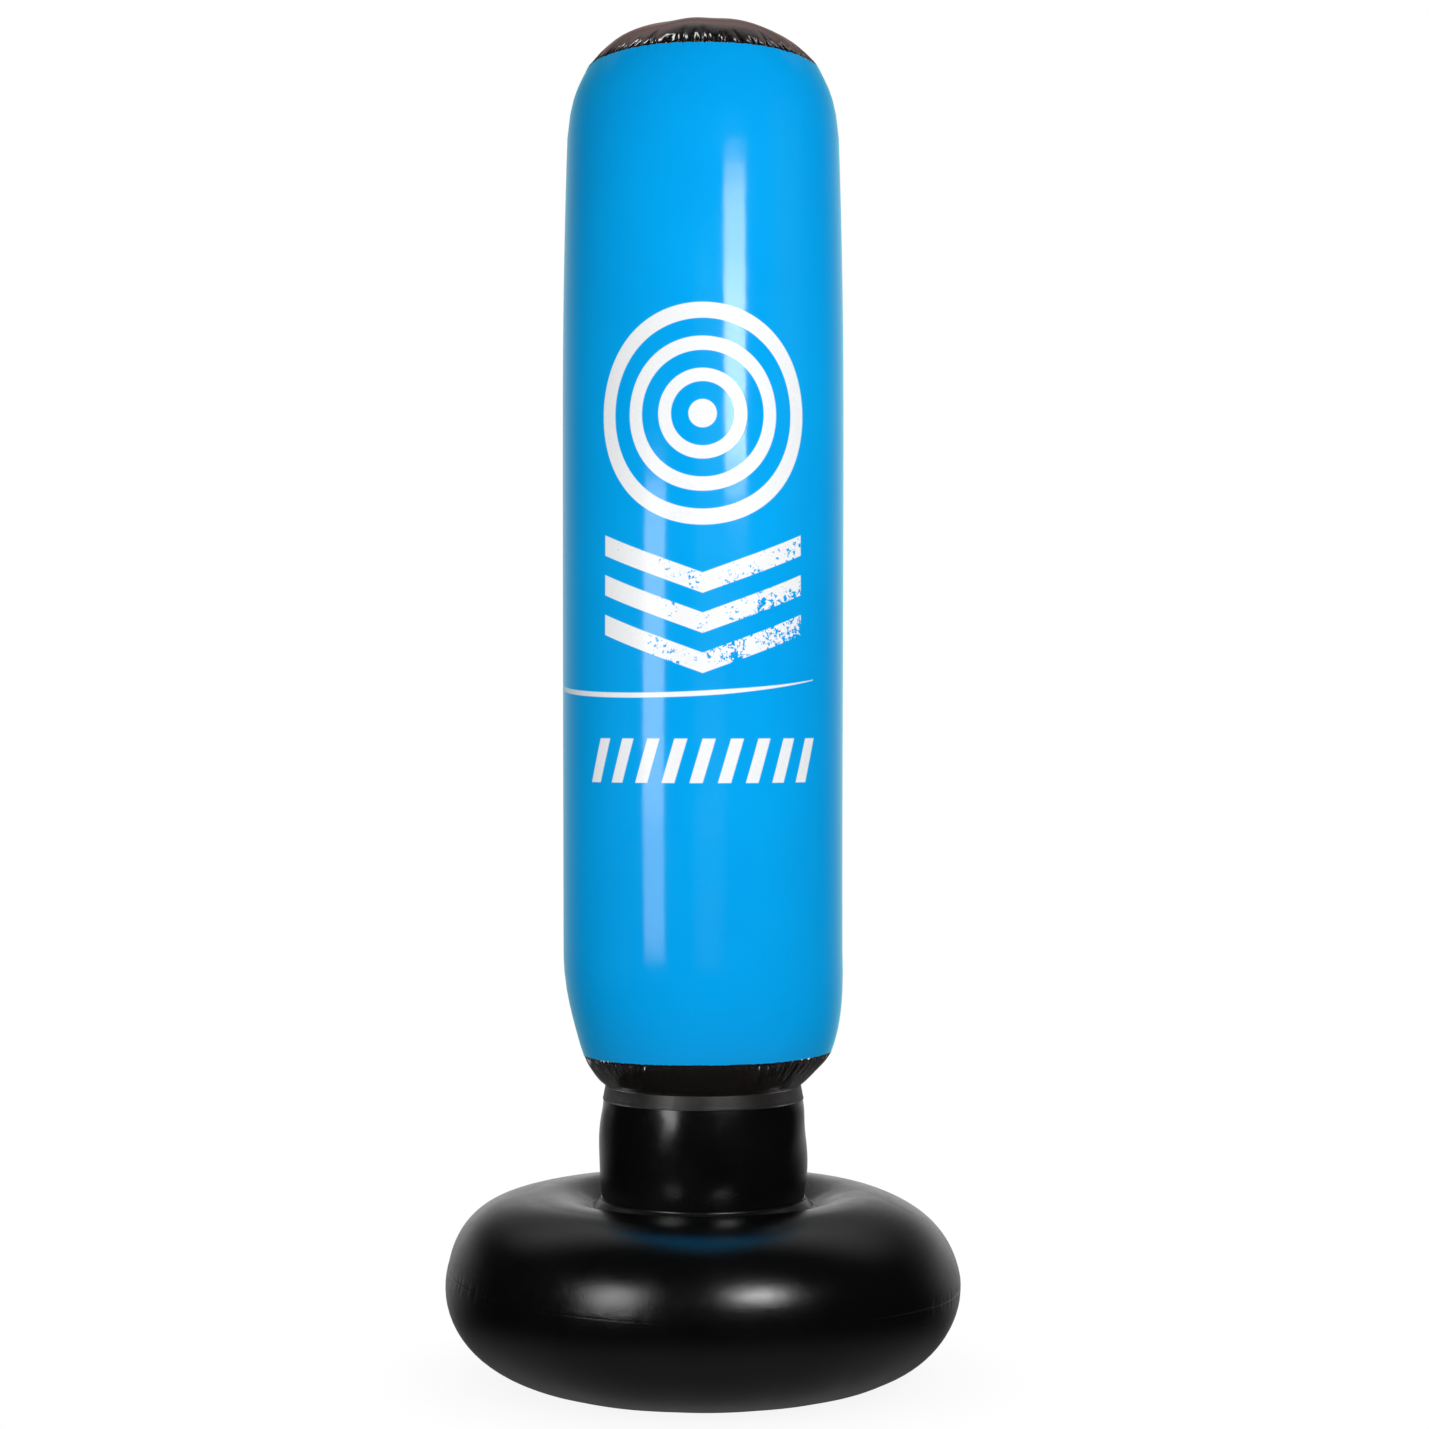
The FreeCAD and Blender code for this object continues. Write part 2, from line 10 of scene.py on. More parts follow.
import bmesh
import bpy
import numpy as np
from mathutils import Vector
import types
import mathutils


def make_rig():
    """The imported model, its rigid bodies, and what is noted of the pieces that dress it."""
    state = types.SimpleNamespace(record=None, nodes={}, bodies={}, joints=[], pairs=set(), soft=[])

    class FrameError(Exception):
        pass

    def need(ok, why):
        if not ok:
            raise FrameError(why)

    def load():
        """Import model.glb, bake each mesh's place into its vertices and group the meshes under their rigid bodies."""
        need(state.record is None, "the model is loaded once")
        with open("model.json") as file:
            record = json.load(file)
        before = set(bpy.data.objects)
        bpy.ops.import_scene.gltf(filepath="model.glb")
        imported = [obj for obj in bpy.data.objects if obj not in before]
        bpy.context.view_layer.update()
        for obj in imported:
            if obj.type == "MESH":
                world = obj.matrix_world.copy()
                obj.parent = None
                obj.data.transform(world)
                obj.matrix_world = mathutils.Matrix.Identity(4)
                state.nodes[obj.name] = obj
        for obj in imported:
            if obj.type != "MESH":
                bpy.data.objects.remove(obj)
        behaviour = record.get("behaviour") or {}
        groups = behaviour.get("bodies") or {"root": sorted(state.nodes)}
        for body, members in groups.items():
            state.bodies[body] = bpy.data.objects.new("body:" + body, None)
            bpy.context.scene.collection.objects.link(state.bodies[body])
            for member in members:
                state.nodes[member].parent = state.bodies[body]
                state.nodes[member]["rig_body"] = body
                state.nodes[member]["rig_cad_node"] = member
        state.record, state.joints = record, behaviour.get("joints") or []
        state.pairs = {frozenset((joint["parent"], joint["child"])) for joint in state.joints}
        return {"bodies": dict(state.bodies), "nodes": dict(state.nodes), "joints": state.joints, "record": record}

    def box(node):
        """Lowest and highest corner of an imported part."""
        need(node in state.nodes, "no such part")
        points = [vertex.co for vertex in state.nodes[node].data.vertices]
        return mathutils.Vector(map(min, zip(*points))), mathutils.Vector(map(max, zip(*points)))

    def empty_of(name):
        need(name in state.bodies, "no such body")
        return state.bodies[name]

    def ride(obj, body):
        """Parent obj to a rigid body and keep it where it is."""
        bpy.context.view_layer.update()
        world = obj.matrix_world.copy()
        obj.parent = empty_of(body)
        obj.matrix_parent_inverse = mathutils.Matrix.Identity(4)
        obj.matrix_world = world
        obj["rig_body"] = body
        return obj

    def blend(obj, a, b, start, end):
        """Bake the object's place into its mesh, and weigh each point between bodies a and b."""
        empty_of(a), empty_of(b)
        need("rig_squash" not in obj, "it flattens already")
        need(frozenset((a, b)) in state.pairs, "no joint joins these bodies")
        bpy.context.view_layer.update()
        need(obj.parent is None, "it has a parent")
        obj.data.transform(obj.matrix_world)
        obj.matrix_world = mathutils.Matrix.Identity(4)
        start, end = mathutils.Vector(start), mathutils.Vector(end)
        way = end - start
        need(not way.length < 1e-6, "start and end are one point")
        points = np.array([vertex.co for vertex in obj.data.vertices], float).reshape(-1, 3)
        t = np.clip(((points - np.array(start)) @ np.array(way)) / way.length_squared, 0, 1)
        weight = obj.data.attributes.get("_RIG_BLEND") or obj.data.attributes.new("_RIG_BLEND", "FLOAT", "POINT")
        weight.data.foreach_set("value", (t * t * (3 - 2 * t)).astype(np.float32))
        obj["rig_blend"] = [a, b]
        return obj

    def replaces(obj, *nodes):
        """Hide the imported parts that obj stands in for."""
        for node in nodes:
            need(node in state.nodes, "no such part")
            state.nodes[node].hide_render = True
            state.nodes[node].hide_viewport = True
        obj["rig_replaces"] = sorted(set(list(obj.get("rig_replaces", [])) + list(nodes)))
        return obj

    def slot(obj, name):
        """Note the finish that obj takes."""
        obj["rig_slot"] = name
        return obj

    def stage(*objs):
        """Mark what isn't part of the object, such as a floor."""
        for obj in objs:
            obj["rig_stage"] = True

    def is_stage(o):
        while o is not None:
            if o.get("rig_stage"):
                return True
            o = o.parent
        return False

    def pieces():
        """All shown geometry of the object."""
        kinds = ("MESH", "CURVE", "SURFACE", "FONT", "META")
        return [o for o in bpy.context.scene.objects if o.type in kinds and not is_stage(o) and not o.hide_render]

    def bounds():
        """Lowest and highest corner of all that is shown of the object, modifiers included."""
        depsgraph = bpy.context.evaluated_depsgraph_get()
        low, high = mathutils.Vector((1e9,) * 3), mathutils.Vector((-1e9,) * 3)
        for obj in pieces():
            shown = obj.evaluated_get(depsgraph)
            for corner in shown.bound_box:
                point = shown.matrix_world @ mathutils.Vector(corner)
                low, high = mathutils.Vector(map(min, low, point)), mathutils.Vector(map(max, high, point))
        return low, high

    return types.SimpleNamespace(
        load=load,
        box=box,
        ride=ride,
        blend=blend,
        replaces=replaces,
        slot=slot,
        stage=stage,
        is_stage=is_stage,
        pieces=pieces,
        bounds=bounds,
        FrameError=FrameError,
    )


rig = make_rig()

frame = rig.load()
cad_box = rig.bounds()

SEED = 7                       # of every random draw
FILM = 0.0006                  # film thickness
OUTLINE_STEP = 0.0005          # between the points of an outline
EYE = (0.0133, -3.5, 0.777)    # where the photographer stood


# -------- sizes, from the frame
def half_width(node):
    """The outer radius of a node turned about Z."""
    low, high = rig.box(node)
    return (high.x - low.x) / 2


def heights(node):
    """The lowest and highest point of a node."""
    low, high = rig.box(node)
    return low.z, high.z


LOW_SEAM_Z = heights("column_sleeve")[0]
LOW_SEAM_R = half_width("bottom_disc")
TOP_SEAM_R = half_width("top_cap")
BAND_LOW_Z = heights("bottom_disc")[0]
BASE_R = half_width("base_top_panel")
EQUATOR_Z = heights("base_bottom_panel")[1]
CORE_R = half_width("base_core_tube")
NECK_LOW_Z, NECK_HIGH_Z = heights("neck_sleeve")

# ---- shapes between those sizes; pairs are (r, z)
COLUMN_R = 0.164               # the column's straight wall
LOW_EDGE = (LOW_SEAM_R + 0.0020, LOW_SEAM_Z + 0.0028)   # where the lower seam is seen
TOP_EDGE = (0.1366, 1.5378)    # where the upper seam is seen
LOW_SHOULDER_R = 0.3357        # the arc that pulls the sleeve in to the lower seam
CAP_WIDE = 0.150               # the dome's ellipse: half its width, and its top
CAP_TOP_Z = 1.5905
TAPER_Z = 1.150                # above this height the column narrows slightly,
TAPER_R = 10.0                 # along an arc this wide
TAPER_RISE = 0.300             # and this tall
DISC_DOME_R = 0.170            # the bulge of the lower disc
NECK_TOP = (0.1147, 0.3430)    # three points of the neck's barrel
NECK_MID = (0.1230, 0.2720)
NECK_FOOT = (0.1195, 0.2090)
NECK_INSET = 0.0009            # the neck film sits inside the weld band
NECK_SPLIT_Z = 0.268           # where its two stretches meet
CROWN = (0.1824, 0.2157)       # the top of the ring
FOOT_R = 0.1725                # the edge of its flat foot
VALLEY = (0.1300, 0.1990)      # where the film turns up to the neck
COLLAR = 0.017                 # slant height of the welded collar
HEM_T = 0.0008                 # thickness of the pressed hem
SEAM_ROLL = math.radians(1.95)         # the ring's seam is welded slightly out of level,
SEAM_RISE = 0.009                      # above the widest line,
SEAM_REACH = 0.13                      # and takes the film within this reach along
LOW_SEAM_ROLL = math.radians(-1.0)     # the column's lower seam is out of level too
LOW_SEAM_SIDE = 0.0052                 # and sits a little to the right
TOP_SEAM_DIP = 0.0050                  # the upper seam hangs lower at both sides

# ---- fittings; turns are from +X, so that the back is at 90 degrees
BACK_TURN = math.pi / 2
LAP_TURN = math.radians(62.0)          # the sleeve's lap weld
LAP_HALF = 0.006                       # half its width
COLUMN_VALVE_Z = 0.520
BASE_VALVE_TURN = math.radians(73.0)
FILLER_TURN = math.radians(107.0)
VALVE_HOLE_R = 0.008
FILLER_HOLE_R = 0.0149
FITTING_FLAT = 0.03                    # the film lies smooth this far round a fitting


# -------- outlines: points (r, z) of the outer surface
def arc(centre, radius, start_deg, end_deg):
    count = max(3, int(abs(math.radians(end_deg - start_deg)) * radius / OUTLINE_STEP) + 1)
    turn = np.radians(np.linspace(start_deg, end_deg, count))
    return np.stack([centre[0] + radius * np.cos(turn), centre[1] + radius * np.sin(turn)], 1)


def ellipse(centre, wide, high, start_deg, end_deg):
    turn = np.radians(np.linspace(start_deg, end_deg, 400))
    return np.stack([centre[0] + wide * np.cos(turn), centre[1] + high * np.sin(turn)], 1)


def line(a, b):
    count = max(2, int(math.dist(a, b) / OUTLINE_STEP) + 1)
    share = np.linspace(0, 1, count)[:, None]
    return np.array(a) * (1 - share) + np.array(b) * share


def chain(*stretches):
    """One outline from stretches that meet end to end."""
    return np.concatenate([stretches[0]] + [stretch[1:] for stretch in stretches[1:]])


def lengths(outline):
    """Distance along the outline at each of its points."""
    return np.concatenate([[0], np.cumsum(np.linalg.norm(np.diff(outline, axis=0), axis=1))])


def rows_along(outline, coarse, zones):
    """Marks along an outline, coarse apart, but finer in and near each zone (start, end, step).

    Marks are distances along the outline from its start.
    """
    total = lengths(outline)[-1]
    marks = [0.0]
    while marks[-1] < total:
        here = marks[-1]
        steps = [step + 0.35 * max(0.0, start - here, here - end) for start, end, step in zones]
        marks.append(here + min([coarse] + steps))
    return np.array(marks) * (total / marks[-1])


def mark_at(outline, z):
    """The distance along a rising outline at which it reaches a height."""
    return float(np.interp(z, outline[:, 1], lengths(outline)))


def column_outline():
    """Lower shoulder, straight wall, gentle taper and upper shoulder."""
    low_deg = math.degrees(math.acos(1 - (COLUMN_R - LOW_EDGE[0]) / LOW_SHOULDER_R))
    low_centre = (COLUMN_R - LOW_SHOULDER_R, LOW_EDGE[1] + LOW_SHOULDER_R * math.sin(math.radians(low_deg)))
    taper_deg = math.degrees(math.asin(TAPER_RISE / TAPER_R))
    taper_centre = (COLUMN_R - TAPER_R, TAPER_Z)
    normal = np.array([math.cos(math.radians(taper_deg)), math.sin(math.radians(taper_deg))])
    start = np.array(taper_centre) + normal * TAPER_R
    chord = np.array(TOP_EDGE) - start
    radius = -chord.dot(chord) / (2 * chord.dot(normal))
    centre = start - normal * radius
    top_deg = math.degrees(math.atan2(TOP_EDGE[1] - centre[1], TOP_EDGE[0] - centre[0]))
    return chain(
        arc(low_centre, LOW_SHOULDER_R, -low_deg, 0),
        line((COLUMN_R, low_centre[1]), (COLUMN_R, TAPER_Z)),
        arc(taper_centre, TAPER_R, 0, taper_deg),
        arc(centre, radius, taper_deg, top_deg),
    )


def cap_outline():
    """The dome from the top seam to the axis."""
    start = math.acos(TOP_EDGE[0] / CAP_WIDE)
    high = (CAP_TOP_Z - TOP_EDGE[1]) / (1 - math.sin(start))
    return ellipse((0, CAP_TOP_Z - high), CAP_WIDE, high, math.degrees(start), 90)


def circle_through(a, b, c):
    """Centre and radius of the circle through three points."""
    (ax, ay), (bx, by), (cx, cy) = a, b, c
    d = 2 * (ax * (by - cy) + bx * (cy - ay) + cx * (ay - by))
    a2, b2, c2 = ax * ax + ay * ay, bx * bx + by * by, cx * cx + cy * cy
    x = (a2 * (by - cy) + b2 * (cy - ay) + c2 * (ay - by)) / d
    y = (a2 * (cx - bx) + b2 * (ax - cx) + c2 * (bx - ax)) / d
    return (x, y), math.hypot(ax - x, ay - y)


def neck_outline(low_z, high_z, inset=0.0):
    """The barrel between two heights, moved in by inset."""
    centre, radius = circle_through(NECK_FOOT, NECK_MID, NECK_TOP)
    radius -= inset
    low, high = (math.degrees(math.asin((z - centre[1]) / radius)) for z in (low_z, high_z))
    return arc(centre, radius, low, high)


def disc_outline():
    """The weld band up the neck, then the bulge out to the lower seam."""
    centre_z = LOW_EDGE[1] + math.sqrt(DISC_DOME_R ** 2 - LOW_EDGE[0] ** 2)
    neck_deg, seam_deg = (-math.degrees(math.acos(r / DISC_DOME_R)) for r in (NECK_TOP[0], LOW_EDGE[0]))
    bulge = arc((0, centre_z), DISC_DOME_R, neck_deg, seam_deg)
    band = neck_outline(BAND_LOW_Z, bulge[0][1])
    band[-1] = bulge[0]
    return chain(band, bulge), lengths(band)[-1]


def base_outline():
    """From the axis along the flat foot, up over the ring, down to the valley and up the collar round the neck.

    Also the marks of its widest point and of its crown.
    """
    side = ellipse((FOOT_R, EQUATOR_Z), BASE_R - FOOT_R, EQUATOR_Z, -90, 0)
    bottom = chain(line((0, 0), (FOOT_R, 0)), side)
    over = ellipse((CROWN[0], EQUATOR_Z), BASE_R - CROWN[0], CROWN[1] - EQUATOR_Z, 0, 90)
    run, drop = CROWN[0] - VALLEY[0], CROWN[1] - VALLEY[1]
    radius = (run ** 2 + drop ** 2) / (2 * drop)
    valley = arc((CROWN[0], CROWN[1] - radius), radius, 90, 90 + math.degrees(math.asin(run / radius)))
    widest = lengths(bottom)[-1]
    whole = chain(bottom, over, valley, line(VALLEY, collar_point(COLLAR)))
    return whole, widest, widest + lengths(over)[-1]


def seam_slide(widest):
    """How far the base's seam, and the film near it, lie above the ring's widest line."""
    slow = waves(2, 6, size=0.0006, seed=35)

    def slide(turn, mark):
        rise = SEAM_RISE - math.tan(SEAM_ROLL) * BASE_R * np.cos(turn) + slow(turn)
        return rise * fall(np.abs(mark - widest) / SEAM_REACH)
    return slide


def collar_point(along, lift=0.0):
    """A point up the collar from the valley, lifted off it."""
    way = np.array(NECK_FOOT) - np.array(VALLEY)
    way = way / np.linalg.norm(way)
    point = np.array(VALLEY) + way * along + np.array([way[1], -way[0]]) * lift
    return max(point[0], CORE_R + 0.0002), point[1]


# -------- shells
def turned_shell(name, outline, marks, relief, shift=None, slide=None, *, columns, thickness=FILM, pole=None, holes=()):
    """A closed thin shell turned about Z, from an outline with its outer side on the right of its direction.

    relief(turn, mark) moves points outwards, shift(turn, mark) gives their moves (dr, dz), and slide(turn, mark)
    moves them along the outline. pole is 0 or -1 where that end lies on the axis. holes are (point, radius),
    punched through the film square to it.
    """
    along = lengths(outline)
    turn = np.linspace(0, 2 * math.pi, columns, endpoint=False)
    turns, rows = np.meshgrid(turn, marks)
    spots = rows + slide(turns, rows) if slide else rows
    slope = np.gradient(outline, axis=0)
    radius, height, run, climb = (np.interp(spots, along, curve[:, k]) for curve in (outline, slope) for k in (0, 1))
    size = np.hypot(run, climb)
    out = relief(turns, rows)
    dr, dz = shift(turns, rows) if shift else (0, 0)

    def grid(offset):
        r = radius + climb / size * (out + offset) + dr
        z = height - run / size * (out + offset) + dz
        return np.stack([r * np.cos(turns), r * np.sin(turns), z], -1)

    outer, inner = grid(0.0), grid(-thickness)
    if pole is not None:
        outer[pole] = outer[pole].mean(0)
        inner[pole] = inner[pole].mean(0)
    index = np.arange(len(marks) * columns).reshape(len(marks), columns)
    low, high = index[:-1], index[1:]
    faces = np.stack([low, np.roll(low, -1, 1), np.roll(high, -1, 1), high], -1).reshape(-1, 4)
    outer, inner = outer.reshape(-1, 3), inner.reshape(-1, 3)
    for centre, hole_radius in holes:
        faces = punched(outer, inner, faces, np.array(centre), hole_radius)
    return shell_object(name, outer, inner, faces, index[pole] if pole is not None else None)


def punched(outer, inner, faces, centre, radius):
    """The faces outside a round hole. The points along its edge are moved on to the circle."""
    outside = np.linalg.norm(outer[faces].mean(1) - centre, axis=1) > radius
    kept = faces[outside]
    edge = np.intersect1d(kept, faces[~outside])
    for points in (outer, inner):
        away = points[edge] - centre
        points[edge] = centre + away * (radius / np.linalg.norm(away, axis=1)[:, None])
    return kept


def shell_object(name, outer, inner, faces, pole=None):
    """Outer and inner faces, closed by rims along every free edge."""
    if pole is not None:
        merged = np.arange(len(outer))
        merged[pole] = pole[0]
        faces = merged[faces]
    count = len(outer)
    edges = np.stack([faces, np.roll(faces, -1, 1)], -1).reshape(-1, 2)
    edges = edges[edges[:, 0] != edges[:, 1]]
    key, back = edges[:, 0] * count + edges[:, 1], edges[:, 1] * count + edges[:, 0]
    free = edges[~np.isin(key, back)]
    rims = np.stack([free[:, 1], free[:, 0], free[:, 0] + count, free[:, 1] + count], 1)
    faces = np.concatenate([faces, faces[:, ::-1] + count, rims])
    used, faces_now = np.unique(faces, return_inverse=True)
    points = np.concatenate([outer, inner])[used]
    loops = [list(dict.fromkeys(face)) for face in faces_now.reshape(-1, 4).tolist()]
    mesh = bpy.data.meshes.new(name)
    mesh.from_pydata(points.tolist(), [], loops)
    mesh.update()
    return smooth_object(name, mesh)


def smooth_object(name, mesh, sharp_deg=50):
    """A mesh put in the scene, smooth but for its sharp edges."""
    mesh.shade_smooth()
    mesh.set_sharp_from_angle(angle=math.radians(sharp_deg))
    piece = bpy.data.objects.new(name, mesh)
    bpy.context.scene.collection.objects.link(piece)
    return piece


# -------- creases
def fall(x):
    """1 at 0 and falling smoothly to 0 at 1."""
    x = np.clip(x, 0, 1)
    return 1 - x * x * (3 - 2 * x)


def turned_from(turn, spot):
    """The angle from a spot, from -pi to pi."""
    return np.mod(turn - spot + math.pi, 2 * math.pi) - math.pi


def waves(low, high, size, seed):
    """A smooth random function round the axis, made of low to high whole waves a turn, its values about size."""
    draw = np.random.default_rng(SEED * 100 + seed)
    counts = np.arange(low, high + 1)
    sizes = draw.normal(0, 1, len(counts)) * size / math.sqrt(len(counts))
    phases = draw.uniform(0, 2 * math.pi, len(counts))

    def value(turn):
        return sum(amount * np.cos(count * turn + phase) for count, amount, phase in zip(counts, sizes, phases))
    return value


class Gathers:
    """Uneven creases that run in from a seam where a wider film is gathered.

    pitch is their mean distance along the seam, depth and length those of the largest.
    """

    def __init__(self, radius, pitch, depth, length, seed):
        draw = np.random.default_rng(SEED * 100 + seed)
        count = int(2 * math.pi * radius / pitch)
        gaps = draw.lognormal(0, 0.40, count)
        self.radius = radius
        self.turn = np.cumsum(gaps) / gaps.sum() * 2 * math.pi
        self.depth = depth * draw.uniform(0.3, 1.0, count)
        self.length = length * draw.uniform(0.40, 1.0, count)
        self.width = pitch * draw.uniform(0.15, 0.30, count)
        self.lean = draw.normal(0, 0.10, count)

    def depth_at(self, turn, away):
        """How deep the creases are at a distance from the seam, over a grid of rows round the axis."""
        total = np.zeros_like(turn)
        for spot, depth, length, width, lean in zip(self.turn, self.depth, self.length, self.width, self.lean):
            round_it = turned_from(turn[0], spot) * self.radius
            near = np.nonzero(np.abs(round_it) < 6 * width + abs(lean) * length)[0]
            reach = away[:, near]
            spread = width * (1 + 0.9 * np.clip(reach / length, 0, 1))
            across = np.abs(round_it[near] - lean * reach) / spread
            total[:, near] += depth * np.exp(-across ** 1.25) * np.clip(1 - reach / length, 0, 1) ** 0.8
        return total


TOP_GATHERS = Gathers(TOP_SEAM_R, pitch=0.0085, depth=0.0029, length=0.038, seed=1)
LOW_GATHERS = Gathers(LOW_SEAM_R, pitch=0.0072, depth=0.0027, length=0.040, seed=2)
EQUATOR_PUCKERS = Gathers(BASE_R, pitch=0.012, depth=0.0007, length=0.016, seed=3)
HEM_PUCKERS = Gathers(0.122, pitch=0.030, depth=0.0005, length=0.012, seed=4)

# How a seam follows its pleats.
PLEAT_REACH = 0.012            # the film this near to the seam goes with it
PLEAT_IN = 0.20                # how far the seam is drawn in and down, as shares of a pleat's depth
PLEAT_DOWN = 0.4
PLEAT_LIFT = 0.0005            # how far it stands up between the pleats


def seam_shift(gathers, seed, reach, roll=0.0, side=0.0, dip=0.0):
    """How a seam and the film within reach of it lie off their circle.

    It is rolled, moved to the right, lower at both sides, waved, and drawn in at each pleat. stretch widens the
    reach of the move to the right.
    """
    slow = waves(2, 7, size=0.0006, seed=seed)

    def shift(turn, away, stretch=1.0):
        near, close = fall(away / reach), fall(away / PLEAT_REACH)
        depth = gathers.depth_at(turn, np.zeros_like(away))
        rise = -math.tan(roll) * gathers.radius * np.cos(turn) + slow(turn) - dip * np.cos(turn) ** 2
        aside = side * np.cos(turn) * fall(away / (reach * stretch))
        return aside - PLEAT_IN * depth * close, rise * near + (PLEAT_LIFT - PLEAT_DOWN * depth) * close
    return shift


top_seam = seam_shift(TOP_GATHERS, 11, reach=0.05, dip=TOP_SEAM_DIP)
low_seam = seam_shift(LOW_GATHERS, 12, reach=0.045, roll=LOW_SEAM_ROLL, side=LOW_SEAM_SIDE)
equator_seam = seam_shift(EQUATOR_PUCKERS, 13, reach=0.05)


def pleats(gathers, turn, away, rise=0.0025):
    """Pleats that start at the seam itself, where the weld holds the film, and are deepest just off it."""
    return -gathers.depth_at(turn, away) * fall(1 - away / rise)


def off_fittings(turn, spots, radius, reach):
    """0 close to each fitting and 1 away from it, by distance round the bag."""
    total = np.ones_like(turn)
    for spot in spots:
        away = np.abs(turned_from(turn, spot)) * radius
        total = total * (1 - fall((away - FITTING_FLAT) / reach))
    return total


# -------- column
def column_skin():
    """The blue tube, drawn in along both seams, with its lap weld and slow unevenness that bends reflections."""
    outline = column_outline()
    total = lengths(outline)[-1]
    valve = mark_at(outline, COLUMN_VALVE_Z)
    zones = [(0, 0.016, 0.0017), (total - 0.016, total, 0.0017), (valve - 0.011, valve + 0.011, 0.0022)]
    marks = rows_along(outline, coarse=0.030, zones=zones)
    swell, drift = waves(2, 5, size=0.0007, seed=21), waves(2, 4, size=0.0006, seed=22)

    def relief(turn, mark):
        end = np.minimum(mark, total - mark)
        height = mark / total
        slow = swell(turn + 1.3 * height) * np.sin(math.pi * height) + drift(turn - 2.1 * height)
        slow = slow * (1 - fall(end / 0.1)) * off_fittings(turn, [BACK_TURN], COLUMN_R, reach=0.05)
        away = np.abs(turned_from(turn, LAP_TURN)) * COLUMN_R
        lap = FILM * fall((away - LAP_HALF) / 0.0018) * (1 - fall(end / 0.006))
        return slow + lap

    def shift(turn, mark):
        low_r, low_z = low_seam(turn, mark, stretch=2.8)
        top_r, top_z = top_seam(turn, total - mark)
        return low_r + top_r, low_z + top_z

    hole = ((0, COLUMN_R, COLUMN_VALVE_Z), VALVE_HOLE_R)
    return turned_shell("column_skin", outline, marks, relief, shift, columns=540, holes=[hole])


def cap_skin():
    """The black dome, gathered into radial pleats along the seam."""
    outline = cap_outline()
    marks = rows_along(outline, coarse=0.008, zones=[(0, 0.020, 0.0014)])
    swell = waves(2, 7, size=0.0007, seed=23)

    def relief(turn, mark):
        puff = 0.0005 * fall(np.abs(mark - 0.008) / 0.02)
        slow = swell(turn) * np.sin(np.clip(mark / 0.13, 0, 1) * math.pi)
        return pleats(TOP_GATHERS, turn, mark) + puff - 0.0008 * fall(mark / 0.002) + slow

    return turned_shell("cap_skin", outline, marks, relief, top_seam, columns=1080, pole=-1)


def lower_disc_skin():
    """The black ring under the column, gathered along its seam, with the weld band turned down over the neck."""
    outline, corner = disc_outline()
    total = lengths(outline)[-1]
    zones = [(total - 0.02, total, 0.0010), (corner - 0.002, corner + 0.002, 0.0007)]
    marks = rows_along(outline, coarse=0.0016, zones=zones)
    slow = waves(3, 11, size=0.0006, seed=24)
    ripple = waves(20, 60, size=0.00012, seed=25)

    def relief(turn, mark):
        away = total - mark
        bulge = 1 - fall((mark - corner) / 0.010)
        puff = 0.0008 * fall(np.abs(away - 0.008) / 0.02) - 0.0004 * fall(away / 0.002)
        band = ripple(turn) * fall(mark / 0.006) + 0.00035 * fall(np.abs(mark - 0.0012) / 0.0012)
        return (pleats(LOW_GATHERS, turn, away) + puff + slow(turn) * (1 - fall(away / 0.02))) * bulge + band

    def shift(turn, mark):
        return low_seam(turn, total - mark)

    return turned_shell("lower_disc_skin", outline, marks, relief, shift, columns=840)


# -------- neck
def neck_piece(name, low_z, high_z):
    """A stretch of the barrel. Both stretches share their unevenness, so that they meet without a step."""
    outline = neck_outline(low_z, high_z, NECK_INSET)
    marks = rows_along(outline, coarse=0.0018, zones=[])
    top_ripple, foot_ripple = waves(8, 22, size=0.0005, seed=26), waves(7, 18, size=0.0003, seed=27)
    slow = waves(2, 5, size=0.0006, seed=28)

    def relief(turn, mark):
        z = np.interp(mark, lengths(outline), outline[:, 1])
        from_top = (NECK_HIGH_Z - z) / (NECK_HIGH_Z - NECK_LOW_Z)
        held = (1 - fall((from_top - 0.13) / 0.10)) * (1 - fall((1 - from_top) / 0.06))
        ripples = top_ripple(turn) * fall(from_top / 0.55) + foot_ripple(turn) * fall((1 - from_top) / 0.35)
        return (ripples + slow(turn + 2 * from_top)) * held

    piece = turned_shell(name, outline, marks, relief, columns=540)
    joined_normals(piece, relief, outline)
    return piece


def joined_normals(piece, relief, outline):
    """Normals from the shared surface itself, so that the two stretches shade as one where they meet."""
    along, height = lengths(outline), outline[:, 1]

    def radius(turn, z):
        mark = np.interp(z, height, along)
        return np.interp(z, height, outline[:, 0]) + relief(turn, mark)

    centre, size = circle_through(NECK_FOOT, NECK_MID, NECK_TOP)
    count = len(piece.data.vertices)
    spots = np.empty(count * 3)
    piece.data.vertices.foreach_get("co", spots)
    spots = spots.reshape(-1, 3)
    turn = np.arctan2(spots[:, 1], spots[:, 0])
    z = np.clip(spots[:, 2], height[0] + 1e-5, height[-1] - 1e-5)
    step = 0.004
    d_turn = (radius(turn + step, z) - radius(turn - step, z)) / (2 * step)
    slope = -(spots[:, 2] - centre[1]) / np.sqrt(size ** 2 - (spots[:, 2] - centre[1]) ** 2)
    r = np.hypot(spots[:, 0], spots[:, 1])
    cos, sin = spots[:, 0] / r, spots[:, 1] / r
    normal = np.stack([cos + sin * d_turn / r, sin - cos * d_turn / r, -slope], 1)
    normal /= np.linalg.norm(normal, axis=1)[:, None]
    inside = r < radius(turn, spots[:, 2]) - FILM / 2
    normal[inside] *= -1
    piece.data.normals_split_custom_set_from_vertices(normal.tolist())


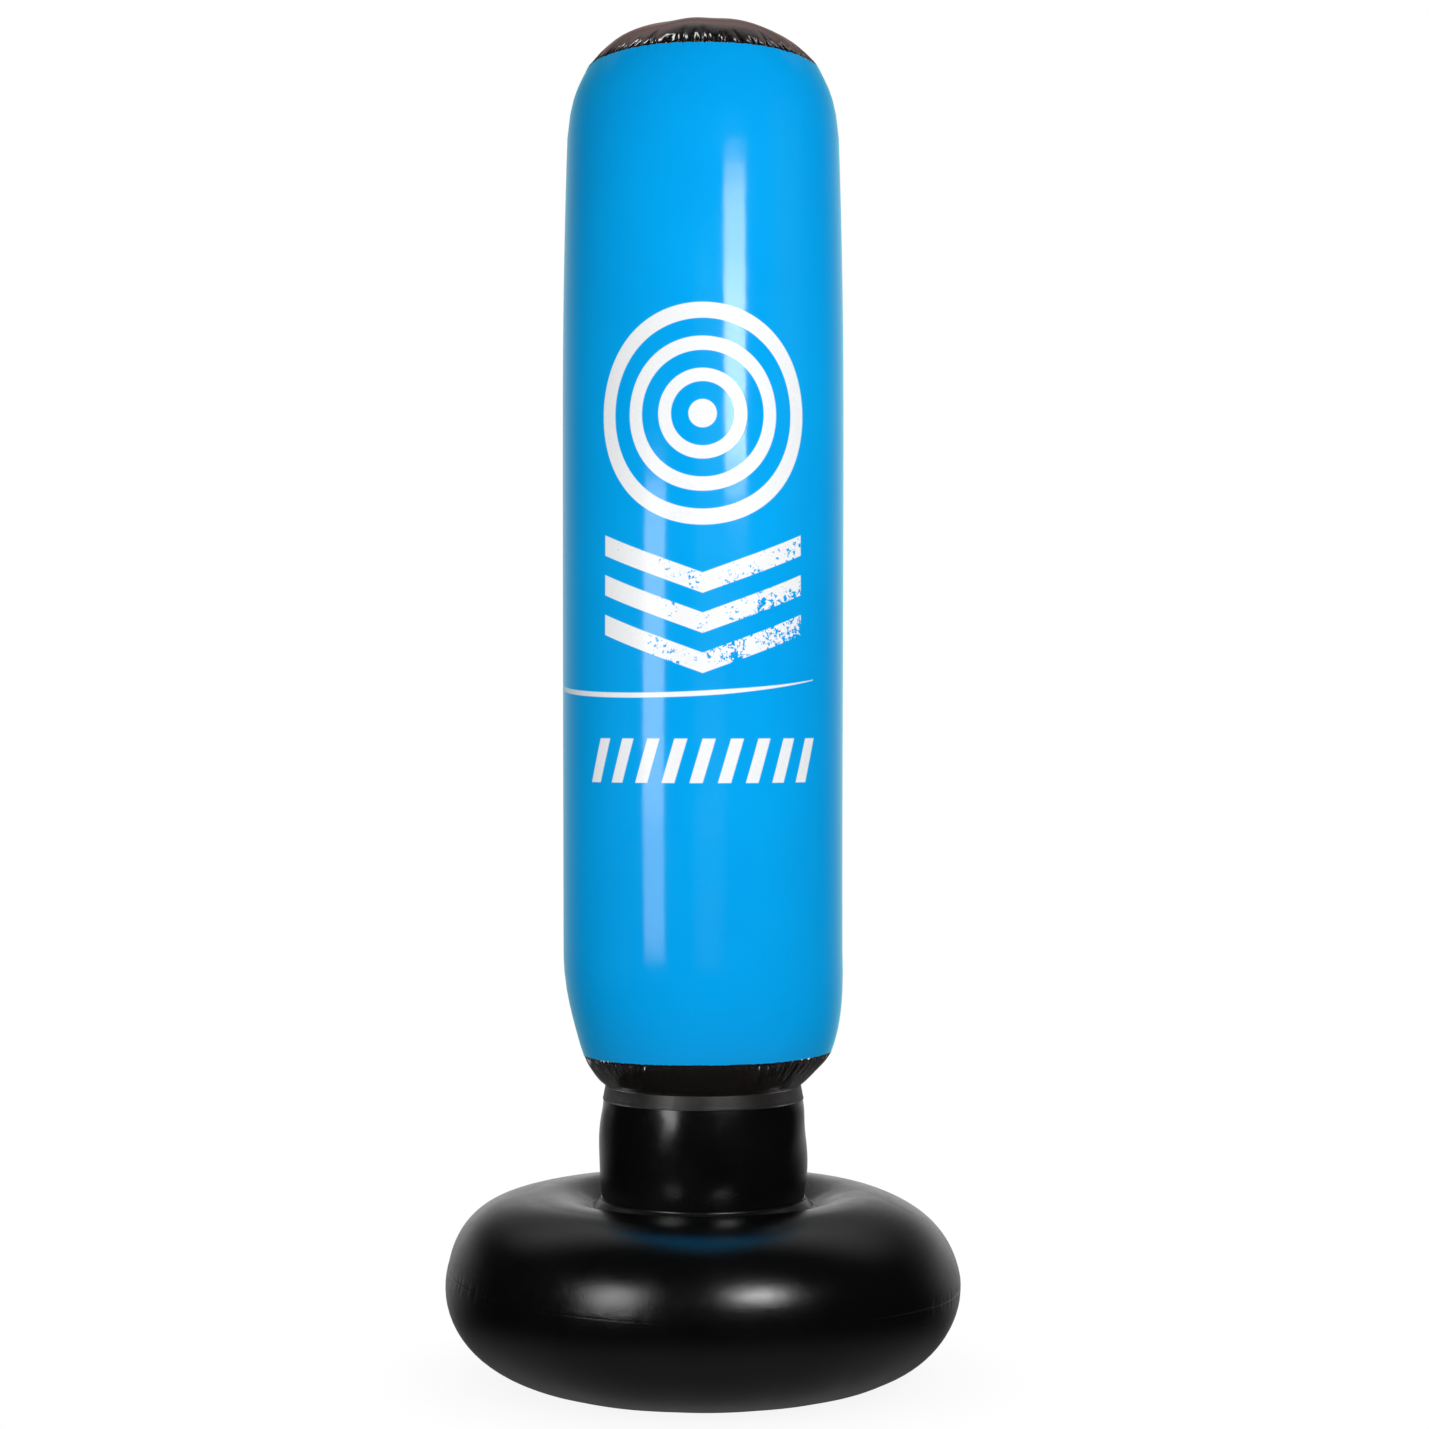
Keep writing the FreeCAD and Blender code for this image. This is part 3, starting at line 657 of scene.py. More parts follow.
def hem_skin():
    """The pressed collar where the neck is welded to the base, with a thin lip along its top."""
    outline = line(collar_point(0.0015, HEM_T), collar_point(COLLAR - 0.0002, HEM_T))
    total = lengths(outline)[-1]
    marks = rows_along(outline, coarse=0.0008, zones=[])
    ripple = waves(12, 40, size=0.00018, seed=29)

    def relief(turn, mark):
        lip = 0.0009 * fall(np.abs(mark - total + 0.0014) / 0.0013)
        dents = -0.6 * HEM_PUCKERS.depth_at(turn, total - mark) * fall((total - mark) / 0.012)
        return lip + (ripple(turn) + dents) * fall(mark / total) * 0.5 + 0.0002 * fall(mark / 0.002)

    return turned_shell("hem_skin", outline, marks, relief, columns=640, thickness=HEM_T - 0.0001)


# -------- base ring
def base_top_skin():
    """The ring's upper half, from the equator seam over the crown and up the collar."""
    outline, widest, crown = base_outline()
    total, over = lengths(outline)[-1], crown - widest
    zones = [(0, 0.003, 0.0008), (over - 0.018, over + 0.018, 0.0023), (total - widest - 0.019, total, 0.0022)]
    marks = widest + rows_along(outline[lengths(outline) >= widest], coarse=0.0068, zones=zones)
    swell, wrinkle = waves(2, 6, size=0.0009, seed=31), waves(9, 26, size=0.0004, seed=32)

    def relief(turn, mark):
        away = mark - widest
        free = np.sin(np.clip((away - 0.01) / (over - 0.03), 0, 1) * math.pi)
        valley = fall(np.abs(away - over - 0.04) / 0.02)
        fuller_left = 0.0014 - 0.0036 * np.cos(turn)
        slow = (swell(turn + away * 4) + fuller_left) * free + wrinkle(turn) * valley * 0.6
        smooth = off_fittings(turn, [BASE_VALVE_TURN, FILLER_TURN], CROWN[0], reach=0.04)
        return slow * smooth + seam_relief(turn, away)

    def shift(turn, mark):
        return equator_seam(turn, mark - widest)

    holes = [(crown_point(BASE_VALVE_TURN), VALVE_HOLE_R), (crown_point(FILLER_TURN), FILLER_HOLE_R)]
    return turned_shell("base_top_skin", outline, marks, relief, shift, seam_slide(widest), columns=700, holes=holes)


def seam_relief(turn, away):
    """The narrow crease of the equator seam, deepest at both sides, with small puckers beside it."""
    deep = 0.08 + 0.92 * np.cos(turn) ** 4
    crease = 0.0011 * fall(away / 0.0013)
    return deep * (pleats(EQUATOR_PUCKERS, turn, away, rise=0.003) - crease)


def base_bottom_skin():
    """The flat foot and the ring's lower half, in one sheet."""
    outline, widest, _ = base_outline()
    zones = [(widest - 0.003, widest, 0.0008), (FOOT_R - 0.004, FOOT_R + 0.004, 0.002)]
    marks = rows_along(outline[lengths(outline) <= widest], coarse=0.0078, zones=zones)
    swell = waves(3, 9, size=0.0008, seed=33)

    def relief(turn, mark):
        wall = np.sin(np.clip((mark - FOOT_R - 0.02) / (widest - FOOT_R - 0.03), 0, 1) * math.pi)
        return np.abs(swell(turn)) * wall + seam_relief(turn, widest - mark) * (mark > FOOT_R + 0.02)

    def shift(turn, mark):
        return equator_seam(turn, widest - mark)

    return turned_shell("base_bottom_skin", outline, marks, relief, shift, seam_slide(widest), columns=700, pole=0)


def core_skin():
    """The inner wall of the water chamber, drawn into slight upright folds."""
    low, high = heights("base_core_tube")
    outline = line((CORE_R, low), (CORE_R, high))
    folds = waves(10, 30, size=0.0004, seed=34)

    def relief(turn, mark):
        return -np.abs(folds(turn)) * np.sin(mark / (high - low) * math.pi)

    marks = rows_along(outline, coarse=0.008, zones=[])
    return turned_shell("core_skin", outline, marks, relief, columns=240)


def crown_point(turn):
    """A point on the crown."""
    return CROWN[0] * math.cos(turn), CROWN[0] * math.sin(turn), CROWN[1]


# -------- straps
def strap(name, place, low, high, bend_x, inner_r, thick, wide, low_end, high_end, foot=None):
    """A moulded strap: a lower leg, a half-round bend and an upper leg, drawn in local x and z, with rounded edges.

    Its sizes are in millimetres. low and high are the undersides of the legs, low_end and high_end where they end.
    """
    steps = 20
    middle = (low + high + thick) / 2
    side = math.copysign(1, bend_x)
    path = [(low_end + (bend_x - low_end) * k / steps, low + thick / 2) for k in range(steps)]
    for k in range(steps + 1):
        turn = math.pi * k / steps
        radius = inner_r + thick / 2
        path.append((bend_x + side * radius * math.sin(turn), middle - radius * math.cos(turn)))
    path += [(bend_x + (high_end - bend_x) * k / steps, high + thick / 2) for k in range(1, steps + 1)]
    path = np.array(path)
    tangent = np.gradient(path, axis=0)
    tangent /= np.linalg.norm(tangent, axis=1)[:, None]
    up = np.stack([-tangent[:, 1], tangent[:, 0]], 1)
    soft = 0.3 * thick
    across = [
        (-wide / 2 + soft, -thick / 2), (wide / 2 - soft, -thick / 2), (wide / 2, -thick / 2 + soft),
        (wide / 2, thick / 2 - soft), (wide / 2 - soft, thick / 2), (-wide / 2 + soft, thick / 2),
        (-wide / 2, thick / 2 - soft), (-wide / 2, -thick / 2 + soft),
    ]
    points, faces = [], []
    for spot, lift in zip(path, up):
        for y, h in across:
            points.append(place(spot[0] + lift[0] * h, y, spot[1] + lift[1] * h))
    sides = len(across)
    for k in range(len(path) - 1):
        for j in range(sides):
            after = (j + 1) % sides
            faces.append([k * sides + j, k * sides + after, (k + 1) * sides + after, (k + 1) * sides + j])
    faces.append(list(range(sides))[::-1])
    faces.append([(len(path) - 1) * sides + j for j in range(sides)])
    if foot:
        add_ring(points, faces, place, foot, low, thick)
    mesh = bpy.data.meshes.new(name)
    mesh.from_pydata(points, [], faces)
    mesh.update()
    work = bmesh.new()
    work.from_mesh(mesh)
    bmesh.ops.recalc_face_normals(work, faces=work.faces)
    work.to_mesh(mesh)
    work.free()
    return smooth_object(name, mesh, 40)


def add_ring(points, faces, place, radii, low, thick):
    """The flat ring by which a strap lies round the spout, with softened edges."""
    inner, outer = radii
    soft = 0.25 * thick
    section = [
        (inner + soft, low), (outer - soft, low), (outer, low + soft), (outer, low + thick - soft),
        (outer - soft, low + thick), (inner + soft, low + thick), (inner, low + thick - soft), (inner, low + soft),
    ]
    count, first, sides = 72, len(points), len(section)
    for k in range(count):
        turn = 2 * math.pi * k / count
        points.extend(place(r * math.cos(turn), r * math.sin(turn), z) for r, z in section)
    for k in range(count):
        for j in range(sides):
            after, onward = (j + 1) % sides, (k + 1) % count
            faces.append([first + k * sides + j, first + k * sides + after,
                          first + onward * sides + after, first + onward * sides + j])


def on_crown(turn):
    """From a fitting's own millimetres, x outwards and z up, to its place on the crown."""
    cx, cy, cz = crown_point(turn)

    def place(x, y, z):
        return (cx + (x * math.cos(turn) - y * math.sin(turn)) / 1000,
                cy + (x * math.sin(turn) + y * math.cos(turn)) / 1000, cz + z / 1000)
    return place


def on_back(x, y, z):
    """The same for the column's valve, on its back."""
    return x / 1000, COLUMN_R + z / 1000, COLUMN_VALVE_Z - y / 1000


def valve_strap(owner, place):
    """The strap that keeps a stopper on its stem."""
    low, high = 1.75, 4.95
    piece = strap(f"{owner}_strap_loop", place, low, high, bend_x=-14.2, inner_r=1.1, thick=1.0, wide=4.0,
                  low_end=-7.6, high_end=-7.6)
    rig.replaces(piece, f"{owner}_valve_strap")
    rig.slot(piece, "valve_pvc")
    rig.blend(piece, f"{owner}_valve", f"{owner}_stopper", place(0, 0, low + 1.0), place(0, 0, high))
    return piece


def filler_strap():
    """The leash from the spout's foot ring to the ring round the cap."""
    place = on_crown(FILLER_TURN)
    piece = strap("leash_loop", place, low=1.6, high=9.9, bend_x=28.0, inner_r=3.65, thick=1.0, wide=6.0,
                  low_end=17.4, high_end=22.4, foot=(14.9, 17.8))
    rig.replaces(piece, "filler_leash_strap")
    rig.slot(piece, "fitting_pvc")
    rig.blend(piece, "base", "filler_leash", place(0, 0, 2.7), place(0, 0, 9.9))
    return piece


# -------- materials
class Nodes:
    """Short forms of the nodes of a material or world."""

    def __init__(self, tree, place):
        self.tree = tree
        self.place = tree.nodes.new("ShaderNodeTexCoord").outputs[place]

    def node(self, kind, inputs, output=0, **settings):
        made = self.tree.nodes.new(kind)
        for key, value in settings.items():
            setattr(made, key, value)
        for key, value in inputs.items():
            self.feed(made.inputs[key], value)
        return made if output is None else made.outputs[output]

    def feed(self, socket, value):
        if isinstance(value, bpy.types.NodeSocket):
            self.tree.links.new(value, socket)
        elif value is not None:
            socket.default_value = value

    def math(self, operation, *values):
        return self.node("ShaderNodeMath", dict(enumerate(values)), operation=operation)

    def axis(self, which):
        """One coordinate of the place."""
        return self.node("ShaderNodeSeparateXYZ", {0: self.place}, which)

    def span(self, value, from_low, from_high, to_low, to_high, smooth=False):
        kind = "SMOOTHSTEP" if smooth else "LINEAR"
        inputs = {"Value": value, "From Min": from_low, "From Max": from_high, "To Min": to_low, "To Max": to_high}
        return self.node("ShaderNodeMapRange", inputs, interpolation_type=kind)

    def blend(self, share, a, b):
        """Between two values."""
        return self.math("ADD", self.math("MULTIPLY", self.math("SUBTRACT", b, a), share), a)


class Shader(Nodes):
    """A principled material."""

    def __init__(self, name, **constants):
        self.material = bpy.data.materials.new(name)
        self.material.use_nodes = True
        super().__init__(self.material.node_tree, "Object")
        self.surface = self.tree.nodes["Principled BSDF"]
        for socket, value in constants.items():
            self.surface.inputs[socket.replace("_", " ")].default_value = value

    def noise(self, scale, detail=2.0, rough=0.5):
        inputs = {"Vector": self.place, "Scale": scale, "Detail": detail, "Roughness": rough}
        return self.node("ShaderNodeTexNoise", inputs)

    def mix(self, share, a, b):
        """Between two colours, or a colour and a socket."""
        return self.node("ShaderNodeMix", {"Factor": share, 6: a, 7: b}, 2, data_type="RGBA")

    def bump(self, height, strength, distance, normal=None):
        inputs = {"Height": height, "Strength": strength, "Distance": distance, "Normal": normal}
        return self.node("ShaderNodeBump", inputs)

    def finish(self, colour, roughness, normal):
        self.feed(self.surface.inputs["Base Color"], colour)
        self.feed(self.surface.inputs["Roughness"], roughness)
        self.feed(self.surface.inputs["Normal"], normal)
        return self.material


def rgb(red, green, blue):
    return (red, green, blue, 1.0)


def film_material(name, dark, light, gloss, grain, depth, dents=0.0, matt=None, **constants):
    """PVC film: slight colour drift, hazy and clear patches, a fine grain, and shallow dents.

    matt is (from height, to height, 0, how much rougher), for a film that is duller towards its foot.
    """
    shader = Shader(name, **constants)
    drift = shader.noise(9.0, 3.0)
    haze = shader.noise(34.0, 4.0, 0.6)
    colour = shader.mix(shader.span(drift, 0.35, 0.65, 0.0, 1.0), dark, light)
    roughness = shader.span(haze, 0.3, 0.7, *gloss)
    if matt:
        roughness = shader.math("ADD", roughness, shader.span(shader.axis(2), *matt))
    normal = shader.bump(shader.noise(grain, 2.0, 0.6), 1.0, depth)
    if dents:
        normal = shader.bump(shader.noise(55.0, 1.0), 1.0, dents, normal)
    return shader.finish(colour, roughness, normal)


def moulded_material(name, dark, light, gloss):
    """Moulded plastic: a faint mottle, a fine spark-eroded texture and rubbed patches."""
    shader = Shader(name)
    mottle = shader.noise(120.0, 3.0)
    rub = shader.noise(300.0, 2.0)
    colour = shader.mix(shader.span(mottle, 0.35, 0.65, 0.0, 1.0), dark, light)
    normal = shader.bump(shader.noise(900.0, 2.0, 0.7), 0.6, 0.00006)
    return shader.finish(colour, shader.span(rub, 0.3, 0.7, *gloss), normal)


# -------- print
PRINT_CENTRE = 1.115           # height of the rings' centre
INK_EDGE = 0.0004              # half the width of a shape's soft edge


class Ink:
    """Inked shapes as shares from 0 to 1, drawn in metres round (u) and up (v) the column's front."""

    def __init__(self, shader):
        self.shader = shader
        turn = shader.math("ARCTAN2", shader.axis(0), shader.math("MULTIPLY", shader.axis(1), -1.0))
        self.u = shader.math("MULTIPLY", turn, COLUMN_R)
        self.v = shader.axis(2)

    def inside(self, distance):
        """1 where a distance is below 0."""
        return self.shader.span(distance, -INK_EDGE, INK_EDGE, 1.0, 0.0)

    def both(self, a, b):
        return self.shader.math("MULTIPLY", a, b)

    def either(self, *shares):
        total = shares[0]
        for share in shares[1:]:
            total = self.shader.math("MAXIMUM", total, share)
        return total

    def rings(self, radii):
        """Rings round the print's centre, each from one radius to another."""
        m = self.shader.math
        up = m("SUBTRACT", self.v, PRINT_CENTRE)
        away = m("SQRT", m("ADD", m("MULTIPLY", self.u, self.u), m("MULTIPLY", up, up)))
        shapes = []
        for inner, outer in radii:
            off = m("ABSOLUTE", m("SUBTRACT", away, (inner + outer) / 2))
            shapes.append(self.inside(m("SUBTRACT", off, (outer - inner) / 2)))
        return self.either(*shapes)

    def chevrons(self, tips, slope, thick, reach):
        """Downward arrows, stacked."""
        m = self.shader.math
        wide = m("ABSOLUTE", self.u)
        lean = m("SUBTRACT", self.v, m("MULTIPLY", wide, slope))
        shapes = [self.inside(m("SUBTRACT", m("ABSOLUTE", m("SUBTRACT", lean, tip)), thick / 2)) for tip in tips]
        return self.both(self.either(*shapes), self.inside(m("SUBTRACT", wide, reach)))

    def swoosh(self):
        """A thin curved rule under the arrows, drawn out to a point on the right."""
        m = self.shader.math
        height, tilt, bend = 0.8011, 0.056, 0.357
        left_end, right_end = -0.250, 0.143
        curve = m("ADD", m("ADD", height, m("MULTIPLY", self.u, tilt)),
                  m("MULTIPLY", m("MULTIPLY", self.u, self.u), bend))
        half = self.shader.span(self.u, 0.02, right_end, 0.0028, 0.0004)
        body = self.inside(m("SUBTRACT", m("ABSOLUTE", m("SUBTRACT", self.v, curve)), half))
        left = self.shader.span(self.u, left_end, left_end + 0.001, 0.0, 1.0)
        right = self.shader.span(self.u, right_end - 0.001, right_end, 1.0, 0.0)
        return self.both(body, self.both(left, right))

    def bars(self, pitch, wide, low, high, reach, lean):
        """A row of slanted bars."""
        m = self.shader.math
        slid = m("SUBTRACT", self.u, m("MULTIPLY", m("SUBTRACT", self.v, (low + high) / 2), lean))
        part = m("FRACT", m("ADD", m("DIVIDE", slid, pitch), 0.5))
        off = m("MULTIPLY", m("ABSOLUTE", m("SUBTRACT", part, 0.5)), pitch)
        tall = m("SUBTRACT", m("ABSOLUTE", m("SUBTRACT", self.v, (low + high) / 2)), (high - low) / 2)
        end = m("SUBTRACT", m("ABSOLUTE", slid), reach)
        shape = self.both(self.inside(m("SUBTRACT", off, wide / 2)), self.inside(tall))
        return self.both(shape, self.inside(end))

    def worn(self, share):
        """Breaks a print up into brush strokes and specks, more so towards its lower right."""
        s, m = self.shader, self.shader.math
        lower = s.span(self.v, 0.80, 1.02, 1.0, 0.0)
        right = s.span(self.u, -0.08, 0.14, 0.15, 1.0)
        loss = m("MULTIPLY", lower, right)
        specks = s.noise(210.0, 3.0, 0.7)
        streaks = s.noise(38.0, 4.0, 0.65)
        rough = m("ADD", m("MULTIPLY", specks, 0.55), m("MULTIPLY", streaks, 0.45))
        limit = m("ADD", 0.37, m("MULTIPLY", loss, 0.21))
        return self.both(share, s.span(m("SUBTRACT", rough, limit), -0.006, 0.006, 0.0, 1.0))


def column_material():
    """Glossy blue film with a white screen print on the front."""
    shader = Shader("blue_film_printed", IOR=1.47, Sheen_Weight=1.0, Sheen_Roughness=0.35,
                    Sheen_Tint=rgb(0.05, 0.75, 1.0))
    ink = Ink(shader)
    target = ink.rings([(0.107, 0.125), (0.071, 0.087), (0.036, 0.051), (0.0, 0.016)])
    arrows = ink.worn(ink.chevrons([0.925, 0.880, 0.835], slope=0.36, thick=0.023, reach=0.122))
    marks = ink.bars(pitch=0.0322, wide=0.0150, low=0.700, high=0.750, reach=0.1450, lean=0.30)
    printed = ink.either(target, arrows, ink.swoosh(), marks)
    drift = shader.noise(5.0, 3.0)
    blue = shader.mix(shader.span(drift, 0.35, 0.65, 0.0, 1.0), rgb(0.0, 0.368, 0.875), rgb(0.0, 0.398, 0.915))
    thin = shader.noise(420.0, 2.0)
    white = shader.mix(shader.span(thin, 0.3, 0.7, 0.0, 1.0), rgb(0.90, 0.92, 0.94), rgb(0.95, 0.96, 0.97))
    haze = shader.noise(26.0, 4.0, 0.6)
    gloss = shader.span(haze, 0.3, 0.7, 0.09, 0.13)
    roughness = shader.math("ADD", gloss, shader.math("MULTIPLY", printed, 0.16))
    normal = shader.bump(shader.noise(700.0, 2.0, 0.6), 1.0, 0.000012)
    normal = shader.bump(shader.noise(30.0, 2.0), 1.0, 0.00012, normal)
    normal = shader.bump(printed, 0.5, 0.00004, normal)
    return shader.finish(shader.mix(printed, blue, white), roughness, normal)


def water_material():
    """Clear water, faintly blue, with a slow ripple."""
    shader = Shader("water_clear", IOR=1.333, Transmission_Weight=1.0)
    tint = shader.mix(shader.noise(8.0), rgb(0.78, 0.90, 0.94), rgb(0.86, 0.95, 0.97))
    ripple = shader.bump(shader.noise(22.0, 2.0), 0.4, 0.0006)
    return shader.finish(tint, shader.span(shader.noise(40.0), 0.3, 0.7, 0.02, 0.05), ripple)


def paint(piece, material):
    piece.data.materials.clear()
    piece.data.materials.append(material)


# -------- stage
def area_light(name, spot, aim, wide, high, radiance, only=None, mirrored=True, colour=(1, 1, 1)):
    """A rectangular softbox of even radiance, turned to its aim.

    It lights one piece only where that is given, and is not mirrored in the film where mirrored is off.
    """
    data = bpy.data.lights.new(name, "AREA")
    data.shape, data.size, data.size_y = "RECTANGLE", wide, high
    data.energy, data.color = radiance * math.pi * wide * high, colour
    lamp = bpy.data.objects.new(name, data)
    lamp.location = spot
    lamp.rotation_euler = (Vector(aim) - Vector(spot)).to_track_quat("-Z", "Y").to_euler()
    lamp.visible_camera = False
    lamp.visible_glossy = mirrored
    bpy.context.scene.collection.objects.link(lamp)
    if only:
        lit = bpy.data.collections.new(name + "_lit")
        lit.objects.link(only)
        lamp.light_linking.receiver_collection = lit


def camera():
    """Level view from the front, as far off as the photographer stood."""
    data = bpy.data.cameras.new("camera")
    data.lens, data.sensor_width = 74.95, 36.0
    eye = bpy.data.objects.new("camera", data)
    eye.location = EYE
    eye.rotation_euler = (math.pi / 2, 0, 0)
    bpy.context.scene.collection.objects.link(eye)
    bpy.context.scene.camera = eye


def glossy_white(sky, y, z):
    """What the glossy film mirrors: white behind the bag, faint light from the floor, dark above."""
    back = sky.span(y, 0.40, 1.0, 0.0, 1.0)
    back = sky.math("MULTIPLY", sky.math("MULTIPLY", back, back), 0.85)
    back = sky.math("MULTIPLY", back, sky.span(z, -0.35, 0.05, 0.10, 1.0))
    back = sky.math("MULTIPLY", back, sky.span(z, 0.10, 0.40, 1.0, 0.3, True))
    below = sky.math("MULTIPLY", sky.span(y, -0.2, 0.6, 0.10, 0.17), sky.span(z, -0.75, -0.25, 1.0, 0.03, True))
    above = sky.math("MULTIPLY", sky.span(z, 0.52, 0.72, 0.0, 0.34, True), sky.span(y, 0.15, 0.60, 0.0, 1.0, True))
    return sky.math("ADD", sky.math("ADD", back, below), above)


def soft_white(sky, x, y, z):
    """What lights the film evenly: white all round, a little stronger from the front right and from behind."""
    m = sky.math
    lean = m("ADD", m("MULTIPLY", x, 0.12), m("MULTIPLY", y, -0.05))
    behind = sky.span(y, 0.35, 0.95, 0.0, 0.30, True)
    return m("ADD", m("ADD", m("ADD", lean, m("MULTIPLY", z, 0.05)), 0.30), behind)


def white_world():
    """A seamless white studio, seen as plain white."""
    world = bpy.data.worlds.new("studio")
    bpy.context.scene.world = world
    world.use_nodes = True
    world.cycles.sampling_method = "NONE"
    world.node_tree.nodes.clear()
    sky = Nodes(world.node_tree, "Generated")
    way = [sky.axis(k) for k in range(3)]
    path = {name: sky.node("ShaderNodeLightPath", {}, name) for name in ("Is Camera Ray", "Is Diffuse Ray")}
    glow = sky.blend(path["Is Diffuse Ray"], glossy_white(sky, *way[1:]), soft_white(sky, *way))
    glow = sky.blend(path["Is Camera Ray"], glow, 1.0)
    light = sky.node("ShaderNodeBackground", {"Color": rgb(1, 1, 1), "Strength": glow})
    sky.node("ShaderNodeOutputWorld", {"Surface": light}, None)


def floor():
    """A pale floor that fades into the white of the studio."""
    bpy.ops.mesh.primitive_plane_add(size=60, location=(0, 0, -0.0003))
    plane = bpy.context.object
    plane.name = "studio_floor"
    plane.visible_glossy = plane.visible_diffuse = False
    shader = Shader("studio_floor", Base_Color=rgb(0.86, 0.86, 0.86), Roughness=0.9, Specular_IOR_Level=0.0)
    away = shader.node("ShaderNodeVectorMath", {0: shader.place}, "Value", operation="LENGTH")
    fade = shader.span(away, 0.20, 0.42, 0.90, 1.0, True)
    white = shader.node("ShaderNodeEmission", {})
    mixed = shader.node("ShaderNodeMixShader", {0: fade, 1: shader.surface.outputs[0], 2: white})
    shader.feed(shader.tree.nodes["Material Output"].inputs["Surface"], mixed)
    paint(plane, shader.material)
    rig.stage(plane)


def studio():
    """Camera, white surroundings, and lamps given by place, aim, width, height and radiance."""
    camera()
    white_world()
    floor()
    area_light("softbox_right", (1.02, -2.13, 1.44), (0, 0, 1.44), 0.72, 0.44, 13.0)
    area_light("softbox_right_top", (1.02, -2.13, 1.78), (0, 0, 1.78), 0.72, 0.24, 9.0)
    area_light("softbox_left", (-0.95, -1.22, 0.885), (0, 0, 0.885), 0.44, 0.53, 5.2)
    area_light("softbox_left_low", (-0.95, -1.22, 0.51), (0, 0, 0.51), 0.44, 0.22, 3.4)
    area_light("fill_front", (0.25, -3.00, 1.00), (0, 0, 1.00), 1.2, 1.6, 4.0, mirrored=False)
    area_light("fill_right", (1.80, -0.60, 1.70), (0, 0, 1.45), 1.0, 1.0, 1.1, mirrored=False)
    area_light("fill_left", (-1.80, -0.60, 0.55), (0, 0, 0.60), 1.0, 1.0, 0.6, mirrored=False)
    cap, disc = bpy.data.objects["cap_skin"], bpy.data.objects["lower_disc_skin"]
    area_light("glow_top", (0, 1.60, 2.90), (0, 0, 1.55), 2.2, 1.4, 0.21, only=cap, colour=(1.0, 0.40, 0.32))
    area_light("glint_top_left", (-0.50, 0.30, 2.90), (0, 0, 1.55), 0.14, 0.50, 12.0, only=cap)
    area_light("glint_top_right", (0.75, 0.45, 2.90), (0, 0, 1.55), 0.10, 0.50, 6.0, only=cap)
    for side in (-1, 1):
        area_light(f"glint_low_{side + 1}", (side * 0.75, 0.15, 0.10), (0, 0, 0.36), 0.3, 0.3, 8.0, only=disc)
    bpy.context.scene.view_settings.view_transform = "Standard"


